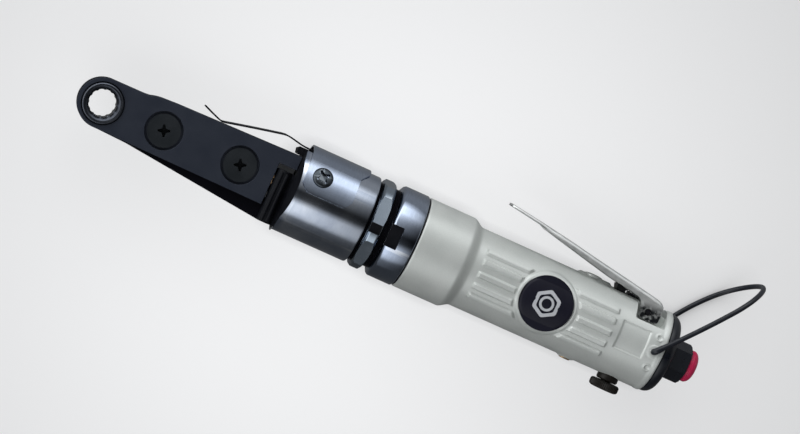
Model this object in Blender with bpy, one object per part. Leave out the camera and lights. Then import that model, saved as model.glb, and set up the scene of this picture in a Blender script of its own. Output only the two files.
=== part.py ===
"""Air ratchet with a closed ring head, built as separate pieces that fit and move together.

The tool lies on its side: its long axis runs along X, with the ring head towards -X and the air
inlet towards +X. The throttle lever is on the +Y side, the air regulator on the -Y side, and the
round badge faces up (+Z). All lengths are in metres.

Every piece is built in tool coordinates, whose zero is on the tool's axis where the black front
meets the silver handle. The empty `tool` carries them all, and it puts the bottom centre of the
whole tool at the world's origin.
"""

import math

import bmesh
import bpy
from mathutils import Matrix, Vector

# Driving dimensions
GAP = 0.0003  # between pieces that touch
GRIP_RADIUS = 0.018
BARREL_RADIUS = 0.0205
CLAMP_RADIUS = 0.0206  # to the flats of the clamp ring, which the tool lies on
HOUSING_RADIUS = 0.0195
SPIGOT_RADIUS = 0.0164  # threaded ends that the locknut and the clamp ring screw onto
MOTOR_RADIUS = 0.0146
RING_X = -0.1475
NOSE_RADIUS = 0.0108
COLLAR_RADIUS = 0.0088
ACROSS_FLATS = 0.011  # the nut that the ring's bore takes
TOOTH_TIP_RADIUS = 0.0096
PLATE_INNER_Z = 0.0055
PLATE_OUTER_Z = 0.008
FRONT_POST_X = -0.1194
REAR_POST_X = -0.0842
BRACKET_FRONT_X = -0.0611
HOUSING_FRONT_X = -0.0580
CRANK_THROW = 0.0009
GEAR_MODULE = 0.0007
SUN_TEETH = 12
PLANET_TEETH = 12
RING_GEAR_TEETH = 36
HANDLE_FRONT_X = -0.0031  # where the black front ends and the silver handle starts
CASTING_REAR_X = 0.1136
LEVER_PIN = (0.1021, 0.0143)
BUTTON_X = (0.0858, 0.0972)
STEM_X = 0.0925
REGULATOR_X = 0.0995
BAIL_X = 0.1093
BAIL_HALF_WIDTH = 0.0193
BAIL_LENGTH = 0.0572
BAIL_ANGLE = math.radians(51)
BAIL_WIRE_RADIUS = 0.001
KNOB_BOTTOM_Y = -0.0243

BAIL_TIP_X = BAIL_X + BAIL_LENGTH * math.cos(BAIL_ANGLE) + BAIL_WIRE_RADIUS
BAIL_TIP_Y = BAIL_LENGTH * math.sin(BAIL_ANGLE) + BAIL_WIRE_RADIUS
NOSE_X = RING_X - NOSE_RADIUS
MIDDLE_X = (NOSE_X + BAIL_TIP_X) / 2
MIDDLE_Y = (KNOB_BOTTOM_Y + BAIL_TIP_Y) / 2
PLANET_ORBIT = GEAR_MODULE * (SUN_TEETH + PLANET_TEETH) / 2

WIDE_SIDES = 32
INNER_SIDES = 20
SMALL_SIDES = 16

# Colour, roughness and metallic value of each finish
FINISHES = {
    "black_steel": ((0.035, 0.042, 0.055), 0.5, 0.6),
    "gloss_steel": ((0.045, 0.052, 0.07), 0.22, 0.9),
    "silver_paint": ((0.50, 0.52, 0.48), 0.42, 0.3),
    "zinc": ((0.62, 0.63, 0.60), 0.3, 1.0),
    "ground_steel": ((0.45, 0.46, 0.48), 0.3, 1.0),
    "aluminium": ((0.60, 0.61, 0.62), 0.35, 1.0),
    "brass": ((0.72, 0.50, 0.22), 0.3, 1.0),
    "black_plastic": ((0.02, 0.022, 0.028), 0.45, 0.0),
    "badge_black": ((0.012, 0.014, 0.02), 0.15, 0.0),
    "phenolic": ((0.20, 0.09, 0.03), 0.6, 0.0),
    "gasket_paper": ((0.25, 0.21, 0.15), 0.9, 0.0),
    "felt": ((0.30, 0.30, 0.28), 0.95, 0.0),
    "red_plastic": ((0.62, 0.03, 0.10), 0.35, 0.0),
    "black_wire": ((0.02, 0.025, 0.035), 0.4, 0.3),
}


def clear_scene():
    for thing in list(bpy.data.objects):
        bpy.data.objects.remove(thing, do_unlink=True)
    for mesh in list(bpy.data.meshes):
        bpy.data.meshes.remove(mesh)


def make_tool_empty():
    empty = bpy.data.objects.new("tool", None)
    empty.location = (-MIDDLE_X, -MIDDLE_Y, CLAMP_RADIUS)
    bpy.context.scene.collection.objects.link(empty)
    return empty


def material(name, finish):
    colour, roughness, metallic = FINISHES[finish]
    made = bpy.data.materials.new(name)
    made.use_nodes = True
    shader = made.node_tree.nodes["Principled BSDF"]
    shader.inputs["Base Color"].default_value = (*colour, 1.0)
    shader.inputs["Roughness"].default_value = roughness
    shader.inputs["Metallic"].default_value = metallic
    return made


def place(obj, finish, pivot=(0, 0, 0)):
    """Link an object under the tool, with its own material and its origin at the pivot."""
    obj.data.transform(Matrix.Translation(-Vector(pivot)))
    obj.location = pivot
    obj.parent = TOOL
    obj.data.materials.append(material(obj.name, finish))
    bpy.context.scene.collection.objects.link(obj)
    return obj


def solid(name, mesh, finish, pivot=(0, 0, 0)):
    bmesh.ops.recalc_face_normals(mesh, faces=mesh.faces)
    data = bpy.data.meshes.new(name)
    mesh.to_mesh(data)
    mesh.free()
    data.shade_smooth()
    data.set_sharp_from_angle(angle=math.radians(30))
    return place(bpy.data.objects.new(name, data), finish, pivot)


def arc(centre, radius, start, end, steps):
    """Points along an arc, from the start angle to the end angle in degrees."""
    points = []
    for step in range(steps + 1):
        angle = math.radians(start + (end - start) * step / steps)
        points.append(tuple(Vector(centre) + radius * Vector((math.cos(angle), math.sin(angle)))))
    return points


def circle(centre, radius, sides=SMALL_SIDES):
    """A full circle with a side, not a corner, at each end of both axes."""
    half = 180 / sides
    return arc(centre, radius, half, 360 + half, sides)[:-1]


def turned_mesh(profile, sides):
    """A solid of revolution about X. The profile is a closed loop of (x, radius) points."""
    mesh = bmesh.new()
    rings = []
    for x, radius in profile:
        if radius == 0:
            rings.append([mesh.verts.new((x, 0, 0))])
        else:
            rings.append([mesh.verts.new((x, y, z)) for y, z in circle((0, 0), radius, sides)])
    for here, there in zip(rings, rings[1:] + rings[:1]):
        for i in range(sides):
            j = (i + 1) % sides
            corners = [
                here[i % len(here)],
                here[j % len(here)],
                there[j % len(there)],
                there[i % len(there)],
            ]
            corners = list(dict.fromkeys(corners))
            if len(corners) > 2:
                mesh.faces.new(corners)
    return mesh


def turned(name, profile, finish, sides=INNER_SIDES):
    return solid(name, turned_mesh(profile, sides), finish)


def turned_on(name, profile, finish, base, direction, sides=SMALL_SIDES):
    """A turned solid whose axis starts at the base point and runs along the direction."""
    mesh = turned_mesh(profile, sides)
    turn = Vector((1, 0, 0)).rotation_difference(Vector(direction)).to_matrix().to_4x4()
    bmesh.ops.transform(mesh, matrix=Matrix.Translation(base) @ turn, verts=mesh.verts)
    return solid(name, mesh, finish, base)


def prism_mesh(outline, low, high, axis="Z"):
    """An outline pushed along an axis. It holds (x, y) points for Z, (y, z) for X, (x, z) for Y."""
    place_point = {
        "Z": lambda a, b, c: (a, b, c),
        "X": lambda a, b, c: (c, a, b),
        "Y": lambda a, b, c: (a, c, b),
    }[axis]
    mesh = bmesh.new()
    bottom = [mesh.verts.new(place_point(a, b, low)) for a, b in outline]
    top = [mesh.verts.new(place_point(a, b, high)) for a, b in outline]
    mesh.faces.new(bottom)
    mesh.faces.new(top)
    for i in range(len(outline)):
        j = (i + 1) % len(outline)
        mesh.faces.new([bottom[i], bottom[j], top[j], top[i]])
    return mesh


def prism(name, outline, low, high, finish, axis="Z", pivot=(0, 0, 0)):
    return solid(name, prism_mesh(outline, low, high, axis), finish, pivot)


def box_mesh(low, high):
    corners = [(low[0], low[1]), (high[0], low[1]), (high[0], high[1]), (low[0], high[1])]
    return prism_mesh(corners, low[2], high[2])


def helper(name, mesh):
    """A shape that only takes part in a Boolean."""
    obj = solid(name, mesh, "black_steel")
    obj.hide_render = True
    obj.display_type = "WIRE"
    return obj


def boolean(target, shape, operation):
    """Join a shape, a mesh or a helper, to the target, cut it away or keep only what is inside it."""
    modifier = target.modifiers.new(operation.lower(), "BOOLEAN")
    modifier.operation = operation
    modifier.solver = "EXACT"
    if isinstance(shape, bmesh.types.BMesh):
        shape = helper(f"{target.name}_{operation.lower()}_{len(target.modifiers)}", shape)
    modifier.object = shape


def cut(target, shape):
    boolean(target, shape, "DIFFERENCE")


def join(target, shape):
    boolean(target, shape, "UNION")


def cylinder_mesh(centre, radius, low, high, axis="Z", sides=SMALL_SIDES):
    return prism_mesh(circle(centre, radius, sides), low, high, axis)


def merged(meshes):
    """Several separate shapes in one mesh, for one Boolean."""
    whole = bmesh.new()
    for mesh in meshes:
        data = bpy.data.meshes.new("piece")
        mesh.to_mesh(data)
        mesh.free()
        whole.from_mesh(data)
        bpy.data.meshes.remove(data)
    return whole


def wire(name, points, radius, finish, pivot, resolution=2):
    """A round wire along a line of points, with filled ends."""
    curve = bpy.data.curves.new(name, "CURVE")
    curve.dimensions = "3D"
    curve.bevel_depth = radius
    curve.bevel_resolution = resolution
    curve.use_fill_caps = True
    spline = curve.splines.new("POLY")
    spline.points.add(len(points) - 1)
    for slot, point in zip(spline.points, points):
        slot.co = (*point, 1)
    return place(bpy.data.objects.new(name, curve), finish, pivot)


def coil(name, start, end, radius, wire_radius, turns, finish):
    """A compression spring: a helix about the line from start to end."""
    steps = 7
    line = Vector(end) - Vector(start)
    turn = Vector((0, 0, 1)).rotation_difference(line).to_matrix()
    points = []
    for step in range(turns * steps + 1):
        angle = 2 * math.pi * step / steps
        ring = turn @ Vector((radius * math.cos(angle), radius * math.sin(angle), 0))
        points.append(Vector(start) + line * step / (turns * steps) + ring)
    return wire(name, points, wire_radius, finish, start, resolution=0)


# Ring head


def nose_outline():
    """The half round nose of the plates and the frame, from its lower side to its upper side."""
    return arc((RING_X, 0), NOSE_RADIUS, 268, 92, 18)


def plate_outline():
    step_x = BRACKET_FRONT_X - 0.0082  # the plates stop here, and only a tab reaches the bracket
    tab_x = BRACKET_FRONT_X - GAP
    upper_edge = [(-0.1330, 0.0109), (-0.1265, 0.0121), (-0.1180, 0.0126), (tab_x, 0.0138)]
    tab = [(tab_x, 0.0077), (step_x, 0.0077)]
    lower_edge = [(step_x, -0.0114), (-0.125, -0.0110)]
    return nose_outline() + upper_edge + tab + lower_edge


def build_plate(name, side):
    low, high = sorted((side * PLATE_INNER_Z, side * PLATE_OUTER_Z))
    plate = prism(name, plate_outline(), low, high, "black_steel")
    through = (low - GAP, high + GAP)
    cut(plate, cylinder_mesh((RING_X, 0), COLLAR_RADIUS + GAP, *through, sides=WIDE_SIDES))
    for x in (FRONT_POST_X, REAR_POST_X):
        shoulder = side * 0.0064
        pocket = sorted((shoulder, side * (PLATE_OUTER_Z + GAP)))
        cut(plate, cylinder_mesh((x, 0), 0.0082, *pocket, sides=INNER_SIDES))
        cut(plate, cylinder_mesh((x, 0), 0.0029, *through))


def build_plate_screw(name, x, side):
    """A flat screw with a cross recess. Its shank reaches halfway into the post."""
    head = 0.0075
    profile = [
        (0, 0),
        (0, head),
        (0.0012, head),
        (0.0012, 0.0026),
        (0.007, 0.0026),
        (0.007, 0),
    ]
    top = side * (PLATE_OUTER_Z - 0.0001)
    screw = turned_on(name, profile, "black_steel", (x, 0, top), (0, 0, -side), INNER_SIDES)
    arm, half, deep = 0.0016, 0.0004, 0.0009
    low, high = sorted((top - side * deep, top + side * GAP))
    cut(screw, box_mesh((x - arm, -half, low), (x + arm, half, high)))
    cut(screw, box_mesh((x - half, -arm, low), (x + half, arm, high)))


def build_post(name, x, radius):
    """A spacer between the plates, with a through thread for a screw from each side."""
    half = PLATE_INNER_Z - GAP
    post = prism(name, circle((x, 0), radius), -half, half, "ground_steel")
    cut(post, cylinder_mesh((x, 0), 0.0029, -half - GAP, half + GAP))


def build_frame():
    """The wedge shaped spacer between the plates, open to the back for the rocker."""
    half = PLATE_INNER_Z - GAP
    back = BRACKET_FRONT_X - GAP
    outer = nose_outline() + [(-0.1330, 0.0108), (-0.1265, 0.0118), (back, 0.0132), (back, 0.0105)]
    ring_pocket = arc((RING_X, 0), TOOTH_TIP_RADIUS + 0.0004, 35, 308, 26)
    inner = [(-0.066, 0.0103), (-0.121, 0.0099), (-0.130, 0.0092)] + ring_pocket
    inner += [(-0.1380, -0.0092), (-0.130, -0.0096), (-0.121, -0.0099), (-0.066, -0.0103)]
    outer_back = [(back, -0.0105), (back, -0.0181), (-0.068, -0.0181), (-0.132, -0.0114)]
    frame = prism("head_frame", outer + inner + outer_back, -half, half, "black_steel")
    # seat of the holding pawl's spring
    cut(frame, cylinder_mesh((HOLDING_SPRING_X, 0), 0.0011, -0.0107, -0.0090, "Y", 12))


def tooth_outline():
    """Saw teeth around the ring: each rises steeply and falls away slowly."""
    teeth = 40
    root = 0.0090
    points = []
    for tooth in range(teeth):
        for part, radius in ((0.0, TOOTH_TIP_RADIUS), (0.18, root)):
            angle = 2 * math.pi * (tooth + part) / teeth
            points.append((RING_X + radius * math.cos(angle), radius * math.sin(angle)))
    return points


def star_outline(grow=0.0):
    """Two hexagons turned by 30 degrees: the bore of a twelve point socket."""
    inner = ACROSS_FLATS / 2 / math.cos(math.radians(15)) + grow
    outer = ACROSS_FLATS / 2 / math.cos(math.radians(30)) + grow
    points = []
    for corner in range(12):
        for offset, radius in ((0, outer), (15, inner)):
            angle = math.radians(30 * corner + offset)
            points.append((RING_X + radius * math.cos(angle), radius * math.sin(angle)))
    return points


def build_ratchet_ring():
    half = PLATE_INNER_Z - GAP
    proud = PLATE_OUTER_Z + 0.0013
    pivot = (RING_X, 0, 0)
    ring = prism("ratchet_ring", tooth_outline(), -half, half, "black_steel", pivot=pivot)
    collar = circle((RING_X, 0), COLLAR_RADIUS, WIDE_SIDES)
    join(ring, prism_mesh(collar, -proud, proud))
    cut(ring, prism_mesh(star_outline(), -proud - GAP, proud + GAP))
    for side in (-1, 1):
        bevel = turned_mesh([(0, 0), (0, 0.0075), (0.0013, 0.0058), (0.0013, 0)], INNER_SIDES)
        turn = Matrix.Rotation(math.radians(90) * side, 4, "Y")
        place_bevel = Matrix.Translation((RING_X, 0, side * (proud + 0.00001))) @ turn
        bmesh.ops.transform(bevel, matrix=place_bevel, verts=bevel.verts)
        cut(ring, bevel)


# Rocker and pawls

DRIVE_PIVOT = (-0.1308, 0.0032)
DRIVE_TIP = (-0.1373, -0.0008)
HOLDING_PIVOT = (-0.1312, -0.0066)
HOLDING_TIP = (-0.1401, -0.0070)
HOLDING_SPRING_X = -0.1345
ROCKER_HALF_Z = 0.0047
PAWL_HALF_Z = 0.003
PAWL_PIN_RADIUS = 0.0008
PAWL_PIN_HOLE = PAWL_PIN_RADIUS + GAP


def build_rocker():
    """The lever that the crank swings about the rear post; a pawl rides in its front end."""
    front, neck = 0.0046, 0.0040
    rear_x = BRACKET_FRONT_X - 0.0007
    outline = [
        (rear_x, 0.0082),
        (-0.0745, 0.0082),
        (-0.0790, 0.0062),
        (-0.0890, 0.0058),
        (-0.0950, neck),
        (-0.1080, neck),
        (-0.1120, 0.0074),
        (-0.1250, 0.0074),
        (-0.1285, front + 0.001),
        (-0.1325, front),
        (-0.1338, front - 0.0015),
        (-0.1325, 0.0005),
        (-0.1285, -0.0015),
        (-0.1255, -0.0060),
        (-0.1240, -0.0074),
        (-0.1120, -0.0074),
        (-0.1080, -neck),
        (-0.0950, -neck),
        (-0.0890, -0.0058),
        (-0.0790, -0.0062),
        (-0.0745, -0.0082),
        (rear_x, -0.0082),
    ]
    pivot = (REAR_POST_X, 0, 0)
    rocker = prism("rocker", outline, -ROCKER_HALF_Z, ROCKER_HALF_Z, "ground_steel", pivot=pivot)
    through = (-ROCKER_HALF_Z - GAP, ROCKER_HALF_Z + GAP)
    cut(rocker, cylinder_mesh((REAR_POST_X, 0), 0.0043, *through))
    window = arc((FRONT_POST_X, 0.0018), 0.0038, 0, 180, 8)
    window += arc((FRONT_POST_X, -0.0018), 0.0038, 180, 360, 8)
    cut(rocker, prism_mesh(window, *through))
    fork_half = 0.0055
    cut(rocker, box_mesh((-0.0722, -fork_half, through[0]), (-0.060, fork_half, through[1])))
    slot_half = PAWL_HALF_Z + GAP
    cut(rocker, box_mesh((-0.138, -0.009, -slot_half), (-0.1272, 0.009, slot_half)))
    cut(rocker, cylinder_mesh(DRIVE_PIVOT, PAWL_PIN_HOLE, *through, sides=12))


def pawl_outline(pivot, tip, eye, blunt):
    """A round eye that tapers to a blunt tip."""
    line = Vector((tip[0] - pivot[0], tip[1] - pivot[1]))
    heading = math.degrees(math.atan2(line.y, line.x))
    points = arc(pivot, eye, heading + 80, heading + 280, 12)
    across = Vector((-line.y, line.x)).normalized() * blunt
    points.append((tip[0] - across.x, tip[1] - across.y))
    points.append((tip[0] + across.x, tip[1] + across.y))
    return points


def build_pawl(name, pivot, tip):
    outline = pawl_outline(pivot, tip, 0.0021, 0.0003)
    pawl = prism(name, outline, -PAWL_HALF_Z, PAWL_HALF_Z, "ground_steel", pivot=(*pivot, 0))
    through = (-PAWL_HALF_Z - GAP, PAWL_HALF_Z + GAP)
    cut(pawl, cylinder_mesh(pivot, PAWL_PIN_HOLE, *through, sides=12))


def build_pawl_pin(name, pivot, half):
    prism(name, circle(pivot, PAWL_PIN_RADIUS, 12), -half, half, "ground_steel")


def build_pawls():
    """The pawl on the rocker drives the ring, and the one in the frame holds it on the way back."""
    build_pawl("drive_pawl", DRIVE_PIVOT, DRIVE_TIP)
    build_pawl("holding_pawl", HOLDING_PIVOT, HOLDING_TIP)
    build_pawl_pin("drive_pawl_pin", DRIVE_PIVOT, ROCKER_HALF_Z - 0.0001)
    build_pawl_pin("holding_pawl_pin", HOLDING_PIVOT, PLATE_INNER_Z - GAP)
    pawl_wire = 0.0002
    drive_seat, drive_end = (-0.1276, -0.0014, 0), (-0.1316, -0.0011, 0)
    coil("drive_pawl_spring", drive_seat, drive_end, 0.0008, pawl_wire, 4, "zinc")
    holding_seat, holding_end = (HOLDING_SPRING_X, -0.0104, 0), (HOLDING_SPRING_X, -0.0087, 0)
    coil("holding_pawl_spring", holding_seat, holding_end, 0.0006, pawl_wire, 3, "zinc")


# Bracket and leaf spring

FLAT_Y = 0.0175  # the flat on top of the bracket and the housing, under the leaf spring


def build_bracket():
    """The collar on the housing's front end, with a lug each side that backs the plates."""
    back = HOUSING_FRONT_X - GAP
    profile = [
        (BRACKET_FRONT_X, 0.0065),
        (BRACKET_FRONT_X, 0.0184),
        (BRACKET_FRONT_X + 0.001, HOUSING_RADIUS),
        (back, HOUSING_RADIUS),
        (back, 0.0065),
    ]
    bracket = turned("head_bracket", profile, "black_steel", WIDE_SIDES)
    lug_front = BRACKET_FRONT_X - 0.0079
    for side in (-1, 1):
        slope = [
            (back - 0.0004, side * (HOUSING_RADIUS + 0.001)),
            (BRACKET_FRONT_X - 0.001, side * 0.0098),
            (BRACKET_FRONT_X - 0.001, side * (HOUSING_RADIUS + 0.001)),
        ]
        cut(bracket, prism_mesh(slope, -0.021, 0.021, "Y"))
        rounding = arc((lug_front + 0.0034, side * 0.0068), 0.0030, 180, 180 - side * 180, 8)
        lug_back = BRACKET_FRONT_X + 0.0005
        lug = [(lug_front + 0.0004, side * PLATE_INNER_Z), *rounding]
        lug += [(lug_back, side * 0.0098), (lug_back, side * PLATE_INNER_Z)]
        join(bracket, prism_mesh(lug, -0.0180, 0.0056, "Y"))
    cut(bracket, box_mesh((BRACKET_FRONT_X - 0.001, FLAT_Y, -0.02), (0, 0.03, 0.02)))


def sheet_outline(line, thickness):
    """A thin strip of even thickness along a line of (x, y) points."""
    upper, lower = [], []
    for i, point in enumerate(line):
        before = Vector(line[max(i - 1, 0)])
        after = Vector(line[min(i + 1, len(line) - 1)])
        along = (after - before).normalized()
        across = Vector((-along.y, along.x)) * thickness / 2
        upper.append(tuple(Vector(point) + across))
        lower.append(tuple(Vector(point) - across))
    return upper + lower[::-1]


def build_leaf_spring():
    thickness = 0.0006
    tail_y = FLAT_Y + GAP + thickness / 2
    line = [
        (-0.0425, tail_y),
        (-0.0600, tail_y),
        (-0.0640, tail_y + 0.0008),
        (-0.0690, tail_y + 0.0015),
        (-0.0720, tail_y + 0.0014),
        (-0.0970, 0.0141),
        (-0.0986, 0.0139),
        (-0.1002, 0.0142),
        (-0.1074, 0.0168),
    ]
    spring = sheet_outline(line, thickness)
    prism("leaf_spring", spring, -0.006, 0.006, "black_steel", pivot=(-0.060, tail_y, 0))


# Front housing and gear train

GEAR_FRONT_X = -0.0347
GEAR_BACK_X = -0.0273
CHAMBER_RADIUS = 0.0147
SADDLE_SCREW_ANGLE = math.radians(28)  # above the middle of each side
SADDLE_SCREW_X = -0.051


def build_front_housing():
    back = HANDLE_FRONT_X - 0.007
    profile = [
        (HOUSING_FRONT_X, 0.0068),
        (HOUSING_FRONT_X, HOUSING_RADIUS),
        (-0.0265, HOUSING_RADIUS),
        (-0.0257, HOUSING_RADIUS - 0.0008),
        (-0.0257, SPIGOT_RADIUS),
        (back, SPIGOT_RADIUS),
        (back, CHAMBER_RADIUS),
        (-0.0395, CHAMBER_RADIUS),
        (-0.0395, 0.0103),
        (-0.0522, 0.0103),
        (-0.0522, 0.0068),
    ]
    housing = turned("front_housing", profile, "gloss_steel", WIDE_SIDES)
    cut(housing, box_mesh((HOUSING_FRONT_X - 0.001, FLAT_Y, -0.02), (-0.0415, 0.03, 0.02)))
    for side in (-1, 1):
        cut(housing, saddle_hole_mesh(side))


def saddle_frame(side):
    """The matrix that carries the X axis onto a saddle screw's own axis."""
    direction = Vector((0, math.sin(SADDLE_SCREW_ANGLE), side * math.cos(SADDLE_SCREW_ANGLE)))
    turn = Vector((1, 0, 0)).rotation_difference(direction).to_matrix().to_4x4()
    return Matrix.Translation((SADDLE_SCREW_X, 0, 0)) @ turn


def saddle_hole_mesh(side):
    start, end, radius = 0.0135, 0.0225, 0.0021
    mesh = turned_mesh([(start, 0), (start, radius), (end, radius), (end, 0)], 12)
    bmesh.ops.transform(mesh, matrix=saddle_frame(side), verts=mesh.verts)
    return mesh


def build_saddle_cover():
    """A thin sheet bent over the housing, held by a screw on each side."""
    inner, outer = HOUSING_RADIUS + GAP, HOUSING_RADIUS + 0.0009
    sides = arc((0, 0), outer, -86, 86, 30) + arc((0, 0), inner, 86, -86, 30)
    tongue = arc((0, 0), outer, -33, 33, 10) + arc((0, 0), inner, 33, -33, 10)
    cover = prism("saddle_cover", sides, -0.0583, -0.0354, "gloss_steel", "X")
    join(cover, prism_mesh(tongue, -0.0400, -0.0317, "X"))
    for side in (-1, 1):
        cut(cover, saddle_hole_mesh(side))


def build_saddle_screw(name, side):
    """A low pan head screw with a cross recess, square to the curved side."""
    profile = [
        (0.0146, 0),
        (0.0146, 0.0018),
        (0.0207, 0.0018),
        (0.0207, 0.0043),
        (0.0209, 0.0043),
        (0.0216, 0.0029),
        (0.0216, 0),
    ]
    mesh = turned_mesh(profile, SMALL_SIDES)
    bmesh.ops.transform(mesh, matrix=saddle_frame(side), verts=mesh.verts)
    screw = solid(name, mesh, "gloss_steel")
    for arm, half in ((0.0015, 0.0004), (0.0004, 0.0015)):
        recess = box_mesh((0.0208, -arm, -half), (0.0222, arm, half))
        bmesh.ops.transform(recess, matrix=saddle_frame(side), verts=recess.verts)
        cut(screw, recess)


def gear_outline(teeth, centre, turn=0.0, inward=False):
    """Straight sided teeth with generous backlash. A tooth is centred at the turn angle."""
    pitch = GEAR_MODULE * teeth / 2
    tip = pitch + (-0.82 if inward else 0.82) * GEAR_MODULE
    root = pitch + (1.1 if inward else -1.1) * GEAR_MODULE
    points = []
    for tooth in range(teeth):
        for offset, radius in ((-0.30, root), (-0.12, tip), (0.12, tip), (0.30, root)):
            angle = turn + 2 * math.pi * (tooth + offset) / teeth
            corner = Vector(centre) + radius * Vector((math.cos(angle), math.sin(angle)))
            points.append(tuple(corner))
    return points


def planet_centre(number):
    angle = 2 * math.pi * number / 3
    return PLANET_ORBIT * math.cos(angle), PLANET_ORBIT * math.sin(angle)


def build_crankshaft():
    """Crank pin, journal, planet carrier and planet pins in one forging."""
    journal = 0.0055
    carrier = 0.0123
    profile = [
        (-0.0568, 0),
        (-0.0568, journal),
        (-0.0382, journal),
        (-0.0382, carrier),
        (-0.0352, carrier),
        (-0.0352, 0),
    ]
    shaft = turned("crankshaft", profile, "ground_steel")
    join(shaft, cylinder_mesh((0, CRANK_THROW), 0.002, -0.0700, -0.0560, "X", 16))
    for number in range(3):
        join(shaft, cylinder_mesh(planet_centre(number), 0.0013, -0.036, -0.0266, "X", 12))


def build_crank_bushing():
    centre = (0, CRANK_THROW)
    bushing = prism("crank_bushing", circle(centre, 0.003, 16), -0.0698, -0.0620, "brass", "X")
    cut(bushing, cylinder_mesh(centre, 0.0023, -0.0705, -0.0615, "X", 16))


def build_planets():
    for number in range(3):
        centre = planet_centre(number)
        turn = 2 * math.pi * number / 3 + math.pi / PLANET_TEETH
        outline = gear_outline(PLANET_TEETH, centre, turn)
        pivot = (GEAR_FRONT_X, *centre)
        name = f"planet_gear_{number + 1}"
        gear = prism(name, outline, GEAR_FRONT_X, GEAR_BACK_X, "ground_steel", "X", pivot)
        cut(gear, cylinder_mesh(centre, 0.0016, GEAR_FRONT_X - GAP, GEAR_BACK_X + GAP, "X", 12))


def build_ring_gear():
    outer = circle((0, 0), CHAMBER_RADIUS - GAP, INNER_SIDES)
    ring = prism("ring_gear", outer, GEAR_FRONT_X, GEAR_BACK_X, "ground_steel", "X")
    teeth = gear_outline(RING_GEAR_TEETH, (0, 0), inward=True)
    cut(ring, prism_mesh(teeth, GEAR_FRONT_X - GAP, GEAR_BACK_X + GAP, "X"))


def bearing(name, front, back, inner, outer):
    turned(name, [(front, inner), (front, outer), (back, outer), (back, inner)], "ground_steel")


def build_locknut():
    """A thin nut: round at its faces, with six flats between them."""
    front, back = -0.0249, -0.0191
    corner = 0.0199
    edge = 0.0006
    profile = [
        (front, SPIGOT_RADIUS + GAP),
        (front, corner - edge),
        (front + edge, corner),
        (back - edge, corner),
        (back, corner - edge),
        (back, SPIGOT_RADIUS + GAP),
    ]
    nut = turned("locknut", profile, "gloss_steel", WIDE_SIDES)
    flat = 0.0190
    for number in range(6):
        block = box_mesh((front - GAP, flat, -0.012), (back + GAP, 0.03, 0.012))
        turn = Matrix.Rotation(math.radians(60 * number + 10), 4, "X")
        bmesh.ops.transform(block, matrix=turn, verts=block.verts)
        cut(nut, block)


def build_clamp_ring():
    """The ring that clamps head and handle together, with a notch for a hook spanner each side."""
    front, back = -0.0160, HANDLE_FRONT_X - GAP
    radius = CLAMP_RADIUS / math.cos(math.pi / WIDE_SIDES)
    edge = 0.0006
    profile = [
        (front, SPIGOT_RADIUS + 2 * GAP),
        (front, radius - edge),
        (front + edge, radius),
        (back, radius),
        (back, SPIGOT_RADIUS + 2 * GAP),
    ]
    ring = turned("clamp_ring", profile, "gloss_steel", WIDE_SIDES)
    for side in (-1, 1):
        low, high = sorted((side * 0.0186, side * 0.022))
        cut(ring, box_mesh((front - GAP, -0.0052, low), (-0.0107, 0.0052, high)))


# Handle

MOTOR_FRONT_X = -0.004
MOTOR_BACK_X = 0.0486
BORE_BACK_X = 0.050
CASTING_BORE = MOTOR_RADIUS + GAP
INLET_BORE = 0.0073
LEVER_PIN_RADIUS = 0.0013
LEVER_PIN_HOLE = LEVER_PIN_RADIUS + GAP
BADGE_X = 0.0582
BADGE_RADIUS = 0.0120


def casting_profile():
    """The casting's outer shape and motor bore: fat barrel, round shoulder, slim grip."""
    shoulder = arc((0.017, 0.0185), 0.002, 90, 35, 3)
    shoulder += [(0.0213, GRIP_RADIUS + 0.0006), (0.0238, GRIP_RADIUS)]
    front = HANDLE_FRONT_X - 0.0066
    return [
        (front, CASTING_BORE),
        (front, SPIGOT_RADIUS),
        (HANDLE_FRONT_X, SPIGOT_RADIUS),
        (HANDLE_FRONT_X, BARREL_RADIUS),
        *shoulder,
        (CASTING_REAR_X, GRIP_RADIUS),
        (CASTING_REAR_X, 0),
        (BORE_BACK_X, 0),
        (BORE_BACK_X, CASTING_BORE),
    ]


def curved_disc(name, low_radius, high_radius, radius):
    """The part of a tube wall, of the grip's curve, that lies inside an upright circle."""
    wall = arc((0, 0), high_radius, 30, 150, 20) + arc((0, 0), low_radius, 150, 30, 20)
    disc = helper(name, prism_mesh(wall, BADGE_X - 0.016, BADGE_X + 0.016, "X"))
    upright = cylinder_mesh((BADGE_X, 0), radius, 0.004, 0.022, sides=INNER_SIDES)
    boolean(disc, upright, "INTERSECT")
    return disc


def grip_ribs():
    """Raised ribs along the grip, in a group each side of the badge, above and below."""
    half_width = 0.00085
    low, high = GRIP_RADIUS - 0.001, GRIP_RADIUS + 0.0005
    angles = [face + 15 * row for face in (0, 180) for row in range(-2, 3)]
    ribs = []
    for front, back in ((0.0265, 0.0448), (0.0716, 0.0885)):
        for angle in angles:
            rib = box_mesh((front, -half_width, low), (back, half_width, high))
            turn = Matrix.Rotation(math.radians(angle), 4, "X")
            bmesh.ops.transform(rib, matrix=turn, verts=rib.verts)
            ribs.append(rib)
    return merged(ribs)


def cut_passages(casting):
    """The air inlet, the passage on to the motor and the two exhaust passages."""
    open_end = CASTING_REAR_X + 0.001
    cut(casting, cylinder_mesh((0, 0), INLET_BORE, 0.086, open_end, "X", INNER_SIDES))
    cut(casting, cylinder_mesh((0, 0), 0.003, BORE_BACK_X - 0.001, 0.087, "X", 12))
    for side in (-1, 1):
        exhaust = (-0.004, side * 0.0118)
        cut(casting, cylinder_mesh(exhaust, 0.0021, BORE_BACK_X - 0.001, open_end, "X", 12))


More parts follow.
